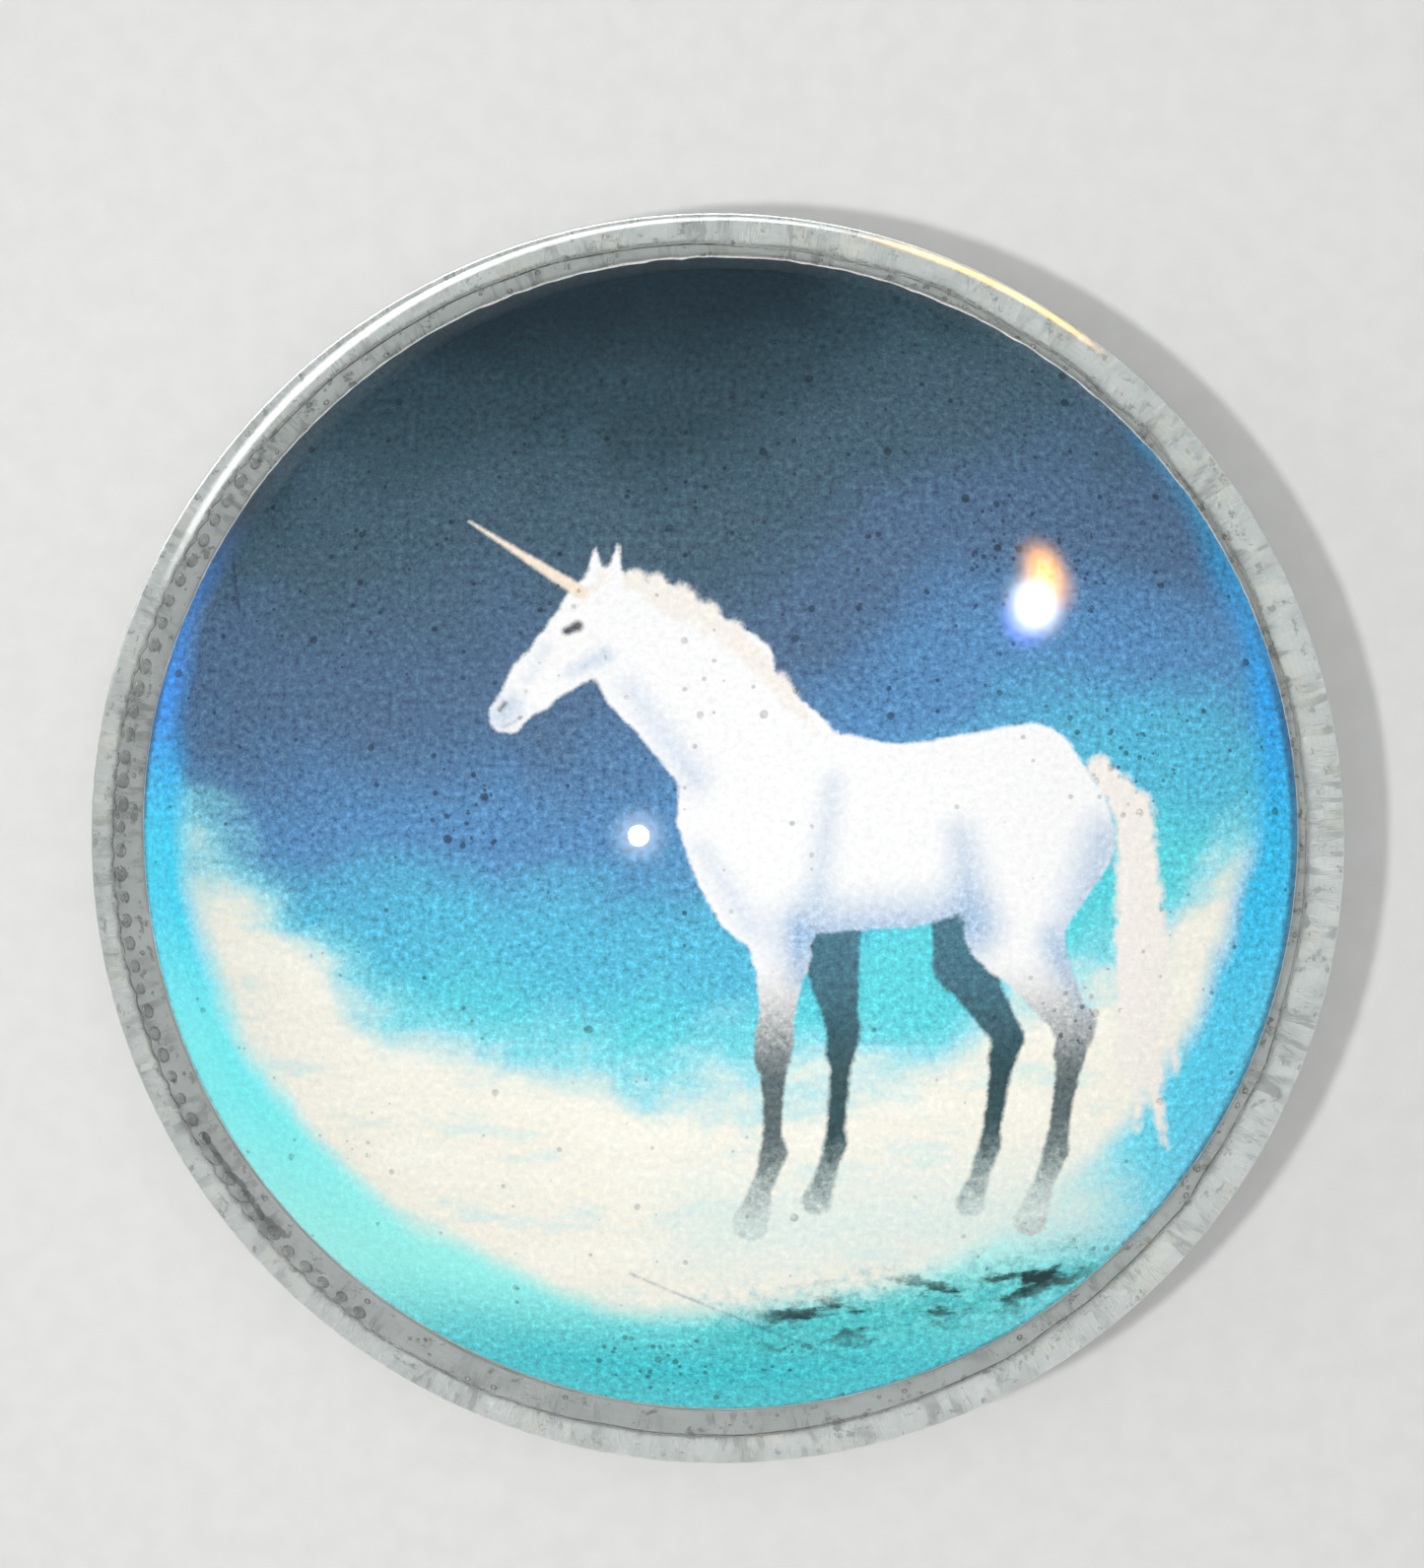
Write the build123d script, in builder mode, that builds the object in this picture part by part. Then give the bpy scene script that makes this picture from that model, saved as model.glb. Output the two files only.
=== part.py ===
from build123d import *
from math import acos, degrees
import os

# Domed picture puck used as a dealer button.
# Millimetres. +Z up, origin at the centre of the underside, where the puck rests on the table.

# overall
puck_diameter = 50.0        # across the lens and the backing

# backing disc
backing_thickness = 1.5
backing_bevel = 0.30        # broken edge, top and bottom

# adhesive film on the back of the paper
film_thickness = 0.10

# printed paper disc
picture_diameter = 42.0
picture_thickness = 0.25

# clear glue between lens and backing
glue_thickness = 0.10       # over the paper
glue_margin = 1.40          # how far the glue spreads beyond the paper
glue_meniscus = 0.15        # rounded-in outer face of the glue

# lens
lens_height = 18.05         # flat face to the top of the dome
dome_radius = 34.0
lens_bottom_bevel = 0.35
lens_shoulder_round = 0.45  # softened corner where the dome meets the side wall

# derived heights above the table
film_bottom = backing_thickness
picture_bottom = film_bottom + film_thickness
picture_top = picture_bottom + picture_thickness
glue_top = picture_top + glue_thickness
lens_top = glue_top + lens_height
puck_radius = puck_diameter / 2
picture_radius = picture_diameter / 2
dome_sag = dome_radius - (dome_radius**2 - puck_radius**2) ** 0.5
wall_top = lens_top - dome_sag
glue_radius = picture_radius + glue_margin
shoulder_angle = degrees(acos(puck_radius / dome_radius))

os.makedirs("parts", exist_ok=True)

# Frosted disc that closes the underside, with both rims broken
with BuildPart() as backing_disc:
    with BuildSketch(Plane.XY):
        Circle(puck_radius)
    extrude(amount=backing_thickness)
    chamfer(backing_disc.edges().filter_by(GeomType.CIRCLE), backing_bevel)
backing_disc.part.label = "backing_disc"
export_step(backing_disc.part, "parts/backing_disc.step")

# Adhesive film, the same size as the paper
with BuildPart() as tape_film:
    with BuildSketch(Plane.XY.offset(film_bottom)):
        Circle(picture_radius)
    extrude(amount=film_thickness)
tape_film.part.label = "tape_film"
export_step(tape_film.part, "parts/tape_film.step")

# Printed paper disc
with BuildPart() as picture_disc:
    with BuildSketch(Plane.XY.offset(picture_bottom)):
        Circle(picture_radius)
    extrude(amount=picture_thickness)
picture_disc.part.label = "picture_disc"
export_step(picture_disc.part, "parts/picture_disc.step")

# Clear glue: a thin layer over the paper and a skirt round it down to the backing,
# its outer face drawn in between the two plastic faces
with BuildPart() as glue_bed:
    with BuildSketch(Plane.XZ):
        with BuildLine():
            Polyline(
                (glue_radius, film_bottom),
                (picture_radius, film_bottom),
                (picture_radius, picture_top),
                (0, picture_top),
                (0, glue_top),
                (glue_radius, glue_top),
            )
            ThreePointArc(
                (glue_radius, glue_top),
                (glue_radius - glue_meniscus, (film_bottom + glue_top) / 2),
                (glue_radius, film_bottom),
            )
        make_face()
    revolve(axis=Axis.Z)
glue_bed.part.label = "glue_bed"
export_step(glue_bed.part, "parts/glue_bed.step")

# Lens: flat face, upright side wall and a spherical dome, with the shoulder softened
with BuildPart() as dome_lens:
    with BuildSketch(Plane.XZ):
        with BuildLine():
            Polyline((0, lens_top), (0, glue_top), (puck_radius, glue_top), (puck_radius, wall_top))
            CenterArc((0, lens_top - dome_radius), dome_radius, shoulder_angle, 90 - shoulder_angle)
        make_face()
    revolve(axis=Axis.Z)
    fillet(dome_lens.edges().filter_by(Edge.is_closed).sort_by(Axis.Z)[-1], lens_shoulder_round)
    chamfer(dome_lens.edges().filter_by(Edge.is_closed).sort_by(Axis.Z)[0], lens_bottom_bevel)
dome_lens.part.label = "dome_lens"
export_step(dome_lens.part, "parts/dome_lens.step")
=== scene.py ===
"""Dealer button: a clear domed lens over a printed picture disc, closed underneath by a frosted disc.

Metres, +Z up, origin at the centre of the underside, +Y towards the top of the picture.
"""
import logging
import math
import random
from dataclasses import dataclass
from enum import Enum
from typing import Callable, Sequence

import bmesh
import bpy
import numpy as np
from mathutils import Euler, Matrix, Vector, noise


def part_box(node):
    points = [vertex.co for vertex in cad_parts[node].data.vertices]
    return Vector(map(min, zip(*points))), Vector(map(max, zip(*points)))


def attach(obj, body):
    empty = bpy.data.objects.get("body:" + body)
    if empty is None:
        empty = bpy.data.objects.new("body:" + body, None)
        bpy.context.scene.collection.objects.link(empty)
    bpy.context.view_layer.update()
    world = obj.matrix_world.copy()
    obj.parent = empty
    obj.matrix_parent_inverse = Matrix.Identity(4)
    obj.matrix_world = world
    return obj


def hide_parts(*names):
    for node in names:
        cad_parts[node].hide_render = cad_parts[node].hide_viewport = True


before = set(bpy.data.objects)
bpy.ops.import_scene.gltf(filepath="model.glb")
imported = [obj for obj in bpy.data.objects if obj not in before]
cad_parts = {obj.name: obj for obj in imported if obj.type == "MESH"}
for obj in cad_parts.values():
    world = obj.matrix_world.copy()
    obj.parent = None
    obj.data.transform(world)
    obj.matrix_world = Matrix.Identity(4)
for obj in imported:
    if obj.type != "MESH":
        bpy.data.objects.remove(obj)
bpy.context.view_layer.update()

log = logging.getLogger("dealer_button")

MM = 0.001
TURN = 2 * math.pi
ACRYLIC_IOR = 1.49
FIRST_COLOUR, SECOND_COLOUR, MIXED_COLOUR = 6, 7, 2     # the Mix node's colour sockets, by number
NOISE_REACH = 1.6       # brings the noise function's swing to about -1 to 1

Socket = bpy.types.NodeSocket
Colour = tuple[float, float, float, float]
Spot = tuple[float, float]
Place = tuple[float, float, float]


def paint(red: int, green: int, blue: int) -> Colour:
    """A paint-card colour, 0 to 255 a channel, as the linear colour that shaders take.

    Args:
        red, green, blue: The colour as it looks on a screen.

    Returns:
        Linear red, green, blue and full alpha.
    """
    def linear(channel: int) -> float:
        """One channel without its display curve."""
        share = channel / 255
        return share / 12.92 if share <= 0.04045 else ((share + 0.055) / 1.055) ** 2.4

    return linear(red), linear(green), linear(blue), 1.0


# ---------------------------------------------------------------------------
# Node wiring
# ---------------------------------------------------------------------------


class SocketKind(Enum):
    """What a node group's socket carries."""

    VALUE = "NodeSocketFloat"
    VECTOR = "NodeSocketVector"


@dataclass
class Wiring:
    """Adds nodes to one node tree and joins them up."""

    tree: bpy.types.NodeTree

    def node(self, kind: str, **settings: object) -> bpy.types.Node:
        """A new node of that kind with its settings made.

        Args:
            kind: The node's type, in Blender's own name.
            settings: Its settings, by name.

        Returns:
            The node.
        """
        made = self.tree.nodes.new(kind)
        for name, value in settings.items():
            setattr(made, name, value)
        return made

    def feed(self, socket: Socket, value: object) -> None:
        """Joins a socket to this one, or sets it to a plain value.

        Args:
            socket: The input to fill.
            value: An output socket, a number, or a tuple.
        """
        if isinstance(value, bpy.types.NodeSocket):
            self.tree.links.new(value, socket)
        else:
            socket.default_value = value

    def fill(self, node: bpy.types.Node, **values: object) -> None:
        """Fills a node's inputs by name, with _ for a space."""
        for name, value in values.items():
            self.feed(node.inputs[name.replace("_", " ")], value)

    def math(self, operation: str, *values: object, clamp: bool = False) -> Socket:
        """The result of a Math node on these values.

        Args:
            operation: What the node does.
            values: Its numbers, in order.
            clamp: Whether the result is kept to 0 to 1.

        Returns:
            The result.
        """
        made = self.node("ShaderNodeMath", operation=operation, use_clamp=clamp)
        for socket, value in zip(made.inputs, values):
            self.feed(socket, value)
        return made.outputs[0]

    def vector(self, operation: str, *values: object, scale: object = None) -> Socket:
        """The result of a Vector Math node: its number where it makes one, else its vector.

        Args:
            operation: What the node does.
            values: Its vectors, as sockets or tuples.
            scale: The number that a SCALE takes.

        Returns:
            The result.
        """
        made = self.node("ShaderNodeVectorMath", operation=operation)
        for socket, value in zip(made.inputs, values):
            self.feed(socket, value)
        if scale is not None:
            self.feed(made.inputs["Scale"], scale)
        single = operation in ("LENGTH", "DISTANCE", "DOT_PRODUCT")
        return made.outputs["Value" if single else "Vector"]

    def mix(self, share: object, first: object, second: object, how: str = "MIX") -> Socket:
        """Two colours mixed, the second by that share.

        Args:
            share: How much of the second colour, 0 to 1.
            first: The colour at 0.
            second: The colour at 1.
            how: The way of mixing.

        Returns:
            The mixed colour.
        """
        made = self.node("ShaderNodeMix", data_type="RGBA", blend_type=how, clamp_factor=True)
        self.feed(made.inputs["Factor"], share)
        self.feed(made.inputs[FIRST_COLOUR], first)
        self.feed(made.inputs[SECOND_COLOUR], second)
        return made.outputs[MIXED_COLOUR]

    def fade(self, value: object, low: float, high: float, start: float = 0.0, end: float = 1.0) -> Socket:
        """A smooth step of a value: start at low and below, end at high and above.

        Args:
            value: The value to fade by.
            low: Where the step starts.
            high: Where it ends.
            start: The result at low.
            end: The result at high.

        Returns:
            The faded number.
        """
        made = self.node("ShaderNodeMapRange", interpolation_type="SMOOTHSTEP")
        self.fill(made, Value=value, From_Min=low, From_Max=high, To_Min=start, To_Max=end)
        return made.outputs[0]

    def ramp(self, share: object, stops: Sequence[tuple[float, Colour]]) -> Socket:
        """A colour ramp over these (place, colour) stops.

        Args:
            share: Where on the ramp, 0 to 1.
            stops: Place and colour of each stop, in order.

        Returns:
            The colour there.
        """
        made = self.node("ShaderNodeValToRGB")
        self.feed(made.inputs["Fac"], share)
        ramp = made.color_ramp
        ramp.interpolation = "EASE"
        for place, colour in stops[1:-1]:
            ramp.elements.new(place).color = colour
        for element, (place, colour) in zip(ramp.elements, stops):
            element.position = place
            element.color = colour
        return made.outputs["Color"]

    def noise(
        self, point: object, scale: float, detail: float = 2.0, rough: float = 0.5, warp: float = 0.0
    ) -> Socket:
        """Cloudy noise, 0 to 1.

        Args:
            point: Where on the piece.
            scale: How fine the noise is.
            detail: How many finer layers it has.
            rough: How strong the finer layers are.
            warp: How much it is pushed about.

        Returns:
            The noise.
        """
        made = self.node("ShaderNodeTexNoise")
        self.fill(made, Vector=point, Scale=scale, Detail=detail, Roughness=rough, Distortion=warp)
        return made.outputs["Fac"]

    def cells(self, point: object, scale: object) -> bpy.types.Node:
        """A Voronoi node: Distance to each cell's centre, and a random Color per cell.

        Args:
            point: Where on the piece.
            scale: How fine the cells are.

        Returns:
            The node.
        """
        made = self.node("ShaderNodeTexVoronoi", feature="F1")
        self.fill(made, Vector=point, Scale=scale)
        return made

    def split(self, vector: object) -> tuple[Socket, Socket, Socket]:
        """A vector's three numbers.

        Args:
            vector: The vector.

        Returns:
            Its x, y and z.
        """
        made = self.node("ShaderNodeSeparateXYZ")
        self.feed(made.inputs[0], vector)
        return made.outputs[0], made.outputs[1], made.outputs[2]

    def join(self, x: object = 0.0, y: object = 0.0, z: object = 0.0) -> Socket:
        """A vector of three numbers.

        Args:
            x, y, z: The three numbers.

        Returns:
            The vector.
        """
        made = self.node("ShaderNodeCombineXYZ")
        for socket, value in zip(made.inputs, (x, y, z)):
            self.feed(socket, value)
        return made.outputs[0]

    def place(self, group: bpy.types.NodeTree, **values: object) -> bpy.types.Node:
        """A node group placed here, with its inputs filled by name.

        Args:
            group: The node group.
            values: Its inputs, by name with _ for a space.

        Returns:
            The placed node.
        """
        made = self.node("ShaderNodeGroup", node_tree=group)
        self.fill(made, **values)
        return made

    def stored(self, layer: Enum) -> Socket:
        """A number that the piece's mesh stores at each point."""
        return self.node("ShaderNodeAttribute", attribute_name=layer.value).outputs["Fac"]

    def flat(self, point: object) -> Socket:
        """A point with its height dropped."""
        return self.vector("MULTIPLY", point, (1.0, 1.0, 0.0))

    def millimetres(self) -> Socket:
        """The point on the piece, in millimetres from the frame's origin."""
        where = self.node("ShaderNodeTexCoord")
        return self.vector("SCALE", where.outputs["Object"], scale=1 / MM)


@dataclass
class GroupMaker:
    """One shader node group being built, with its named inputs and outputs."""

    name: str
    inputs: dict[str, SocketKind]
    outputs: dict[str, SocketKind]

    def __post_init__(self) -> None:
        """Makes the tree and its sockets."""
        self.tree = bpy.data.node_groups.new(self.name, "ShaderNodeTree")
        for way, sockets in (("INPUT", self.inputs), ("OUTPUT", self.outputs)):
            for name, kind in sockets.items():
                self.tree.interface.new_socket(name=name, in_out=way, socket_type=kind.value)
        self.wiring = Wiring(self.tree)
        self.given = self.wiring.node("NodeGroupInput").outputs
        self.result = self.wiring.node("NodeGroupOutput").inputs

    def finish(self, **results: Socket) -> bpy.types.NodeTree:
        """Joins the results to the outputs, by name with _ for a space, and gives the tree.

        Args:
            results: What each output gives.

        Returns:
            The node group.
        """
        for name, socket in results.items():
            self.wiring.feed(self.result[name.replace("_", " ")], socket)
        return self.tree


class Effects:
    """Shader node groups that several materials share, each built once."""

    def __init__(self) -> None:
        """Builds every group."""
        self.stroke = self._stroke()
        self.marks = self._marks()
        self.ground = self._ground()
        self.bubbles = self._bubbles()

    @staticmethod
    def _stroke() -> bpy.types.NodeTree:
        """A brush stroke that tapers from one round end to the other: distance to its edge.

        Returns:
            The node group.
        """
        maker = GroupMaker(
            "Tapered stroke",
            {"Point": SocketKind.VECTOR, "Start": SocketKind.VECTOR, "Along": SocketKind.VECTOR,
             "Start Width": SocketKind.VALUE, "End Width": SocketKind.VALUE},
            {"Distance": SocketKind.VALUE},
        )
        w, given = maker.wiring, maker.given
        across = w.vector("SUBTRACT", given["Point"], given["Start"])
        reach = w.vector("DOT_PRODUCT", given["Along"], given["Along"])
        share = w.math("DIVIDE", w.vector("DOT_PRODUCT", across, given["Along"]), reach, clamp=True)
        nearest = w.vector("SCALE", given["Along"], scale=share)
        gap = w.vector("LENGTH", w.vector("SUBTRACT", across, nearest))
        widening = w.math("SUBTRACT", given["End Width"], given["Start Width"])
        width = w.math("MULTIPLY_ADD", share, widening, given["Start Width"])
        return maker.finish(Distance=w.math("SUBTRACT", gap, width))

    @staticmethod
    def _marks() -> bpy.types.NodeTree:
        """Handling marks on polished plastic: fine scratches, dust specks and finger smears.

        Returns:
            The node group.
        """
        maker = GroupMaker(
            "Handling marks",
            {"Point": SocketKind.VECTOR, "Scratch Amount": SocketKind.VALUE, "Dust Amount": SocketKind.VALUE},
            {"Scratches": SocketKind.VALUE, "Dust": SocketKind.VALUE, "Smears": SocketKind.VALUE},
        )
        w, point = maker.wiring, maker.given["Point"]
        scratches: object = 0.0
        for turn, stretch in ((0.5, 0.9), (2.1, 1.2)):
            turned = w.node("ShaderNodeMapping")
            w.feed(turned.inputs["Vector"], point)
            turned.inputs["Rotation"].default_value = (0.0, 0.0, turn)
            turned.inputs["Scale"].default_value = (0.05 * stretch, 2.2 * stretch, 1.0)
            lines = w.noise(turned.outputs[0], 1.6, 0.0)
            thin = w.fade(w.math("ABSOLUTE", w.math("SUBTRACT", lines, 0.5)), 0.0, 0.006, 1.0, 0.0)
            patch = w.fade(w.noise(point, 0.11 * stretch, 0.0), 0.54, 0.66)
            scratches = w.math("MAXIMUM", scratches, w.math("MULTIPLY", thin, patch))
        motes = w.cells(point, 0.9)
        chosen = w.math("GREATER_THAN", w.split(motes.outputs["Color"])[0], 0.93)
        dot = w.fade(motes.outputs["Distance"], 0.03, 0.07, 1.0, 0.0)
        smears = w.fade(w.noise(point, 0.16, 2.0, 0.55), 0.45, 0.75)
        return maker.finish(
            Scratches=w.math("MULTIPLY", scratches, maker.given["Scratch Amount"]),
            Dust=w.math("MULTIPLY", w.math("MULTIPLY", dot, chosen), maker.given["Dust Amount"]),
            Smears=smears,
        )

    @staticmethod
    def _ground() -> bpy.types.NodeTree:
        """A ground plastic face: fine grit, radial tool ticks and milky patches.

        Returns:
            The node group.
        """
        maker = GroupMaker(
            "Ground plastic",
            {"Point": SocketKind.VECTOR, "Ticks": SocketKind.VALUE},
            {"Grit": SocketKind.VALUE, "Tick Marks": SocketKind.VALUE, "Milk": SocketKind.VALUE},
        )
        w, point = maker.wiring, maker.given["Point"]
        x, y, z = w.split(point)
        angle = w.math("ARCTAN2", y, x)
        radius = w.math("SQRT", w.math("ADD", w.math("MULTIPLY", x, x), w.math("MULTIPLY", y, y)))
        around = w.math("MULTIPLY", angle, maker.given["Ticks"])
        unrolled = w.join(around, w.math("MULTIPLY", radius, 0.6), w.math("MULTIPLY", z, 0.12))
        ticks = w.fade(w.noise(unrolled, 1.0, 2.0, 0.7), 0.46, 0.62)
        grit = w.noise(point, 9.0, 3.0, 0.7)
        milk = w.fade(w.noise(point, 0.32, 4.0, 0.6, 0.6), 0.35, 0.68)
        return maker.finish(Grit=grit, Tick_Marks=ticks, Milk=milk)

    @staticmethod
    def _bubbles() -> bpy.types.NodeTree:
        """Small round bubbles scattered in a film of glue, thicker where Crowding is high.

        Returns:
            The node group.
        """
        maker = GroupMaker(
            "Trapped bubbles",
            {"Point": SocketKind.VECTOR, "Spacing": SocketKind.VALUE, "Crowding": SocketKind.VALUE},
            {"Bubbles": SocketKind.VALUE, "Rims": SocketKind.VALUE},
        )
        w, given = maker.wiring, maker.given
        seeds = w.cells(w.flat(given["Point"]), w.math("DIVIDE", 1.0, given["Spacing"]))
        pick, size, _ = w.split(seeds.outputs["Color"])
        kept = w.math("LESS_THAN", pick, given["Crowding"])
        radius = w.math("MULTIPLY_ADD", size, 0.18, 0.15)
        inside = w.math("SUBTRACT", seeds.outputs["Distance"], radius)
        disc = w.math("MULTIPLY", w.fade(inside, -0.06, 0.02, 1.0, 0.0), kept)
        rim = w.math("MULTIPLY", w.fade(w.math("ABSOLUTE", inside), 0.0, 0.05, 1.0, 0.0), kept)
        return maker.finish(Bubbles=disc, Rims=rim)


# ---------------------------------------------------------------------------
# The picture
# ---------------------------------------------------------------------------


@dataclass(frozen=True)
class Stroke:
    """One brush stroke, in millimetres from the picture's centre as it shows through the lens."""

    start: Spot
    end: Spot
    start_width: float
    end_width: float

    def distance(self, points: np.ndarray) -> np.ndarray:
        """How far each point lies outside the stroke; less than 0 inside it.

        Args:
            points: One row of x and y for each point.

        Returns:
            One distance for each point.
        """
        start, along = np.array(self.start), np.array(self.end) - np.array(self.start)
        across = points - start
        share = np.clip(across @ along / (along @ along), 0.0, 1.0)
        gap = np.linalg.norm(across - share[:, None] * along, axis=1)
        return gap - (self.start_width + (self.end_width - self.start_width) * share)


@dataclass(frozen=True)
class Glaze:
    """A layer of paint: strokes melted together, with one colour and one kind of edge."""

    strokes: tuple[Stroke, ...]
    colour: Colour
    edge: float = 0.12      # how far the paint fades out
    melt: float = 0.5       # how far neighbouring strokes run together
    fuzz: float = 0.25      # how ragged the edge is
    strength: float = 1.0

    def distance(self, points: np.ndarray) -> np.ndarray:
        """How far each point lies outside the melted strokes.

        Args:
            points: One row of x and y for each point.

        Returns:
            One distance for each point.
        """
        least = self.strokes[0].distance(points)
        for stroke in self.strokes[1:]:
            other = stroke.distance(points)
            close = np.maximum(self.melt - np.abs(least - other), 0.0) / self.melt
            least = np.minimum(least, other) - close**3 * self.melt / 6
        return least

    def cover(self, points: np.ndarray) -> np.ndarray:
        """How much of the glaze lies on each point, 0 to 1."""
        share = np.clip(0.5 - self.distance(points) / (2 * self.edge), 0.0, 1.0)
        return share * share * (3 - 2 * share) * self.strength


@dataclass(frozen=True)
class HornedHorse:
    """A plain white horse with a horn, side on and standing square, facing left."""

    white: Colour = paint(254, 253, 252)
    shade: Colour = paint(112, 168, 212)
    dusk: Colour = paint(34, 66, 70)
    far: Colour = paint(64, 112, 130)
    cream: Colour = paint(250, 244, 236)
    knee: float = -3.4          # below this height the legs darken
    fetlock: float = -9.0       # and from here down they are darkest

    def body(self) -> Glaze:
        """Trunk, neck, head and the two near legs.

        Returns:
            The glaze.
        """
        return Glaze(
            (
                Stroke((2.9, 0.9), (7.2, 0.9), 3.9, 3.4),
                Stroke((7.2, 0.9), (11.8, 1.7), 3.4, 3.35),
                Stroke((3.2, 3.8), (7.4, 2.9), 1.5, 1.4),
                Stroke((7.4, 2.9), (12.4, 3.5), 1.4, 1.9),
                Stroke((0.5, 1.8), (1.9, -1.2), 2.0, 2.1),
                Stroke((1.9, 3.4), (-2.6, 7.2), 2.9, 1.8),
                Stroke((-2.6, 7.2), (-4.3, 9.8), 1.8, 1.35),
                Stroke((3.0, 4.7), (-2.3, 9.5), 1.4, 1.1),
                Stroke((-2.3, 9.4), (1.0, 7.6), 1.4, 1.3),
                Stroke((-4.6, 9.7), (-7.1, 6.9), 1.35, 0.95),
                Stroke((-7.1, 6.9), (-8.2, 5.6), 0.92, 0.70),
                Stroke((-4.7, 8.4), (-6.0, 7.4), 1.15, 0.8),
                Stroke((-4.1, 10.8), (-3.8, 12.4), 0.40, 0.05),
                Stroke((-4.7, 10.9), (-4.75, 12.2), 0.34, 0.05),
                Stroke((2.3, -1.2), (2.6, -3.6), 1.8, 1.05),
                Stroke((2.6, -3.6), (2.3, -7.1), 1.0, 0.58),
                Stroke((2.3, -7.1), (2.2, -7.7), 0.68, 0.62),
                Stroke((2.25, -7.7), (2.25, -11.4), 0.46, 0.34),
                Stroke((2.3, -11.6), (1.7, -13.3), 0.48, 0.36),
                Stroke((1.65, -13.7), (1.4, -14.4), 0.52, 0.74),
                Stroke((12.7, 0.9), (11.7, -2.6), 3.1, 1.9),
                Stroke((11.7, -2.6), (14.2, -6.7), 1.75, 0.66),
                Stroke((14.5, -6.5), (14.1, -7.6), 0.62, 0.58),
                Stroke((14.1, -7.6), (13.6, -11.5), 0.50, 0.38),
                Stroke((13.65, -11.7), (13.0, -13.4), 0.50, 0.38),
                Stroke((12.95, -13.8), (12.7, -14.5), 0.52, 0.74),
            ),
            self.white,
            edge=0.10,
            melt=0.75,
            fuzz=0.16,
        )

    def far_legs(self) -> Glaze:
        """The two legs on the far side, in shade.

        Returns:
            The glaze.
        """
        return Glaze(
            (
                Stroke((4.2, -1.8), (5.0, -6.7), 1.5, 0.56),
                Stroke((5.0, -6.7), (4.9, -7.4), 0.62, 0.56),
                Stroke((4.95, -7.4), (4.7, -10.9), 0.44, 0.32),
                Stroke((4.75, -11.1), (4.3, -12.6), 0.44, 0.34),
                Stroke((4.2, -12.9), (4.0, -13.5), 0.46, 0.62),
                Stroke((10.3, -1.0), (9.7, -4.0), 2.0, 1.2),
                Stroke((9.7, -4.0), (11.5, -7.0), 1.1, 0.56),
                Stroke((11.6, -7.0), (11.3, -7.8), 0.58, 0.52),
                Stroke((11.3, -7.8), (10.9, -11.1), 0.44, 0.34),
                Stroke((10.9, -11.3), (10.4, -12.8), 0.44, 0.34),
                Stroke((10.35, -13.1), (10.15, -13.7), 0.46, 0.62),
            ),
            self.far,
            melt=0.5,
            fuzz=0.16,
        )

    def tail(self) -> Glaze:
        """The long tail, hanging in locks.

        Returns:
            The glaze.
        """
        return Glaze(
            (
                Stroke((15.2, 3.6), (16.6, 2.0), 0.55, 0.75),
                Stroke((16.6, 2.0), (17.0, -3.4), 0.75, 1.05),
                Stroke((17.0, -3.4), (17.4, -8.4), 1.05, 0.5),
                Stroke((17.4, -8.4), (18.5, -12.0), 0.5, 0.06),
                Stroke((16.5, -2.0), (16.1, -9.6), 0.6, 0.06),
                Stroke((16.8, -4.0), (17.0, -11.0), 0.6, 0.06),
                Stroke((17.6, -3.0), (18.7, -8.8), 0.4, 0.05),
            ),
            self.cream,
            edge=0.22,
            melt=0.5,
            fuzz=0.45,
        )

    def mane(self) -> Glaze:
        """Locks of mane down the crest and a forelock.

        Returns:
            The glaze.
        """
        return Glaze(
            (
                Stroke((-3.2, 11.0), (-1.4, 9.4), 0.42, 0.12),
                Stroke((-2.3, 10.8), (-0.4, 8.8), 0.42, 0.10),
                Stroke((-1.3, 10.4), (0.6, 8.2), 0.42, 0.10),
                Stroke((-0.3, 9.7), (1.5, 7.5), 0.42, 0.10),
                Stroke((0.7, 8.9), (2.3, 6.7), 0.42, 0.10),
                Stroke((1.6, 8.0), (3.0, 5.8), 0.40, 0.08),
                Stroke((2.5, 7.0), (3.9, 4.9), 0.36, 0.08),
                Stroke((-4.4, 11.1), (-5.5, 9.9), 0.24, 0.06),
            ),
            paint(236, 230, 226),
            edge=0.2,
            melt=0.25,
            fuzz=0.3,
        )

    def horn(self) -> Glaze:
        """The tapering horn."""
        taper = Stroke((-5.3, 10.5), (-9.8, 13.4), 0.27, 0.03)
        return Glaze((taper,), paint(250, 234, 214), edge=0.1, fuzz=0.04)

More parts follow.
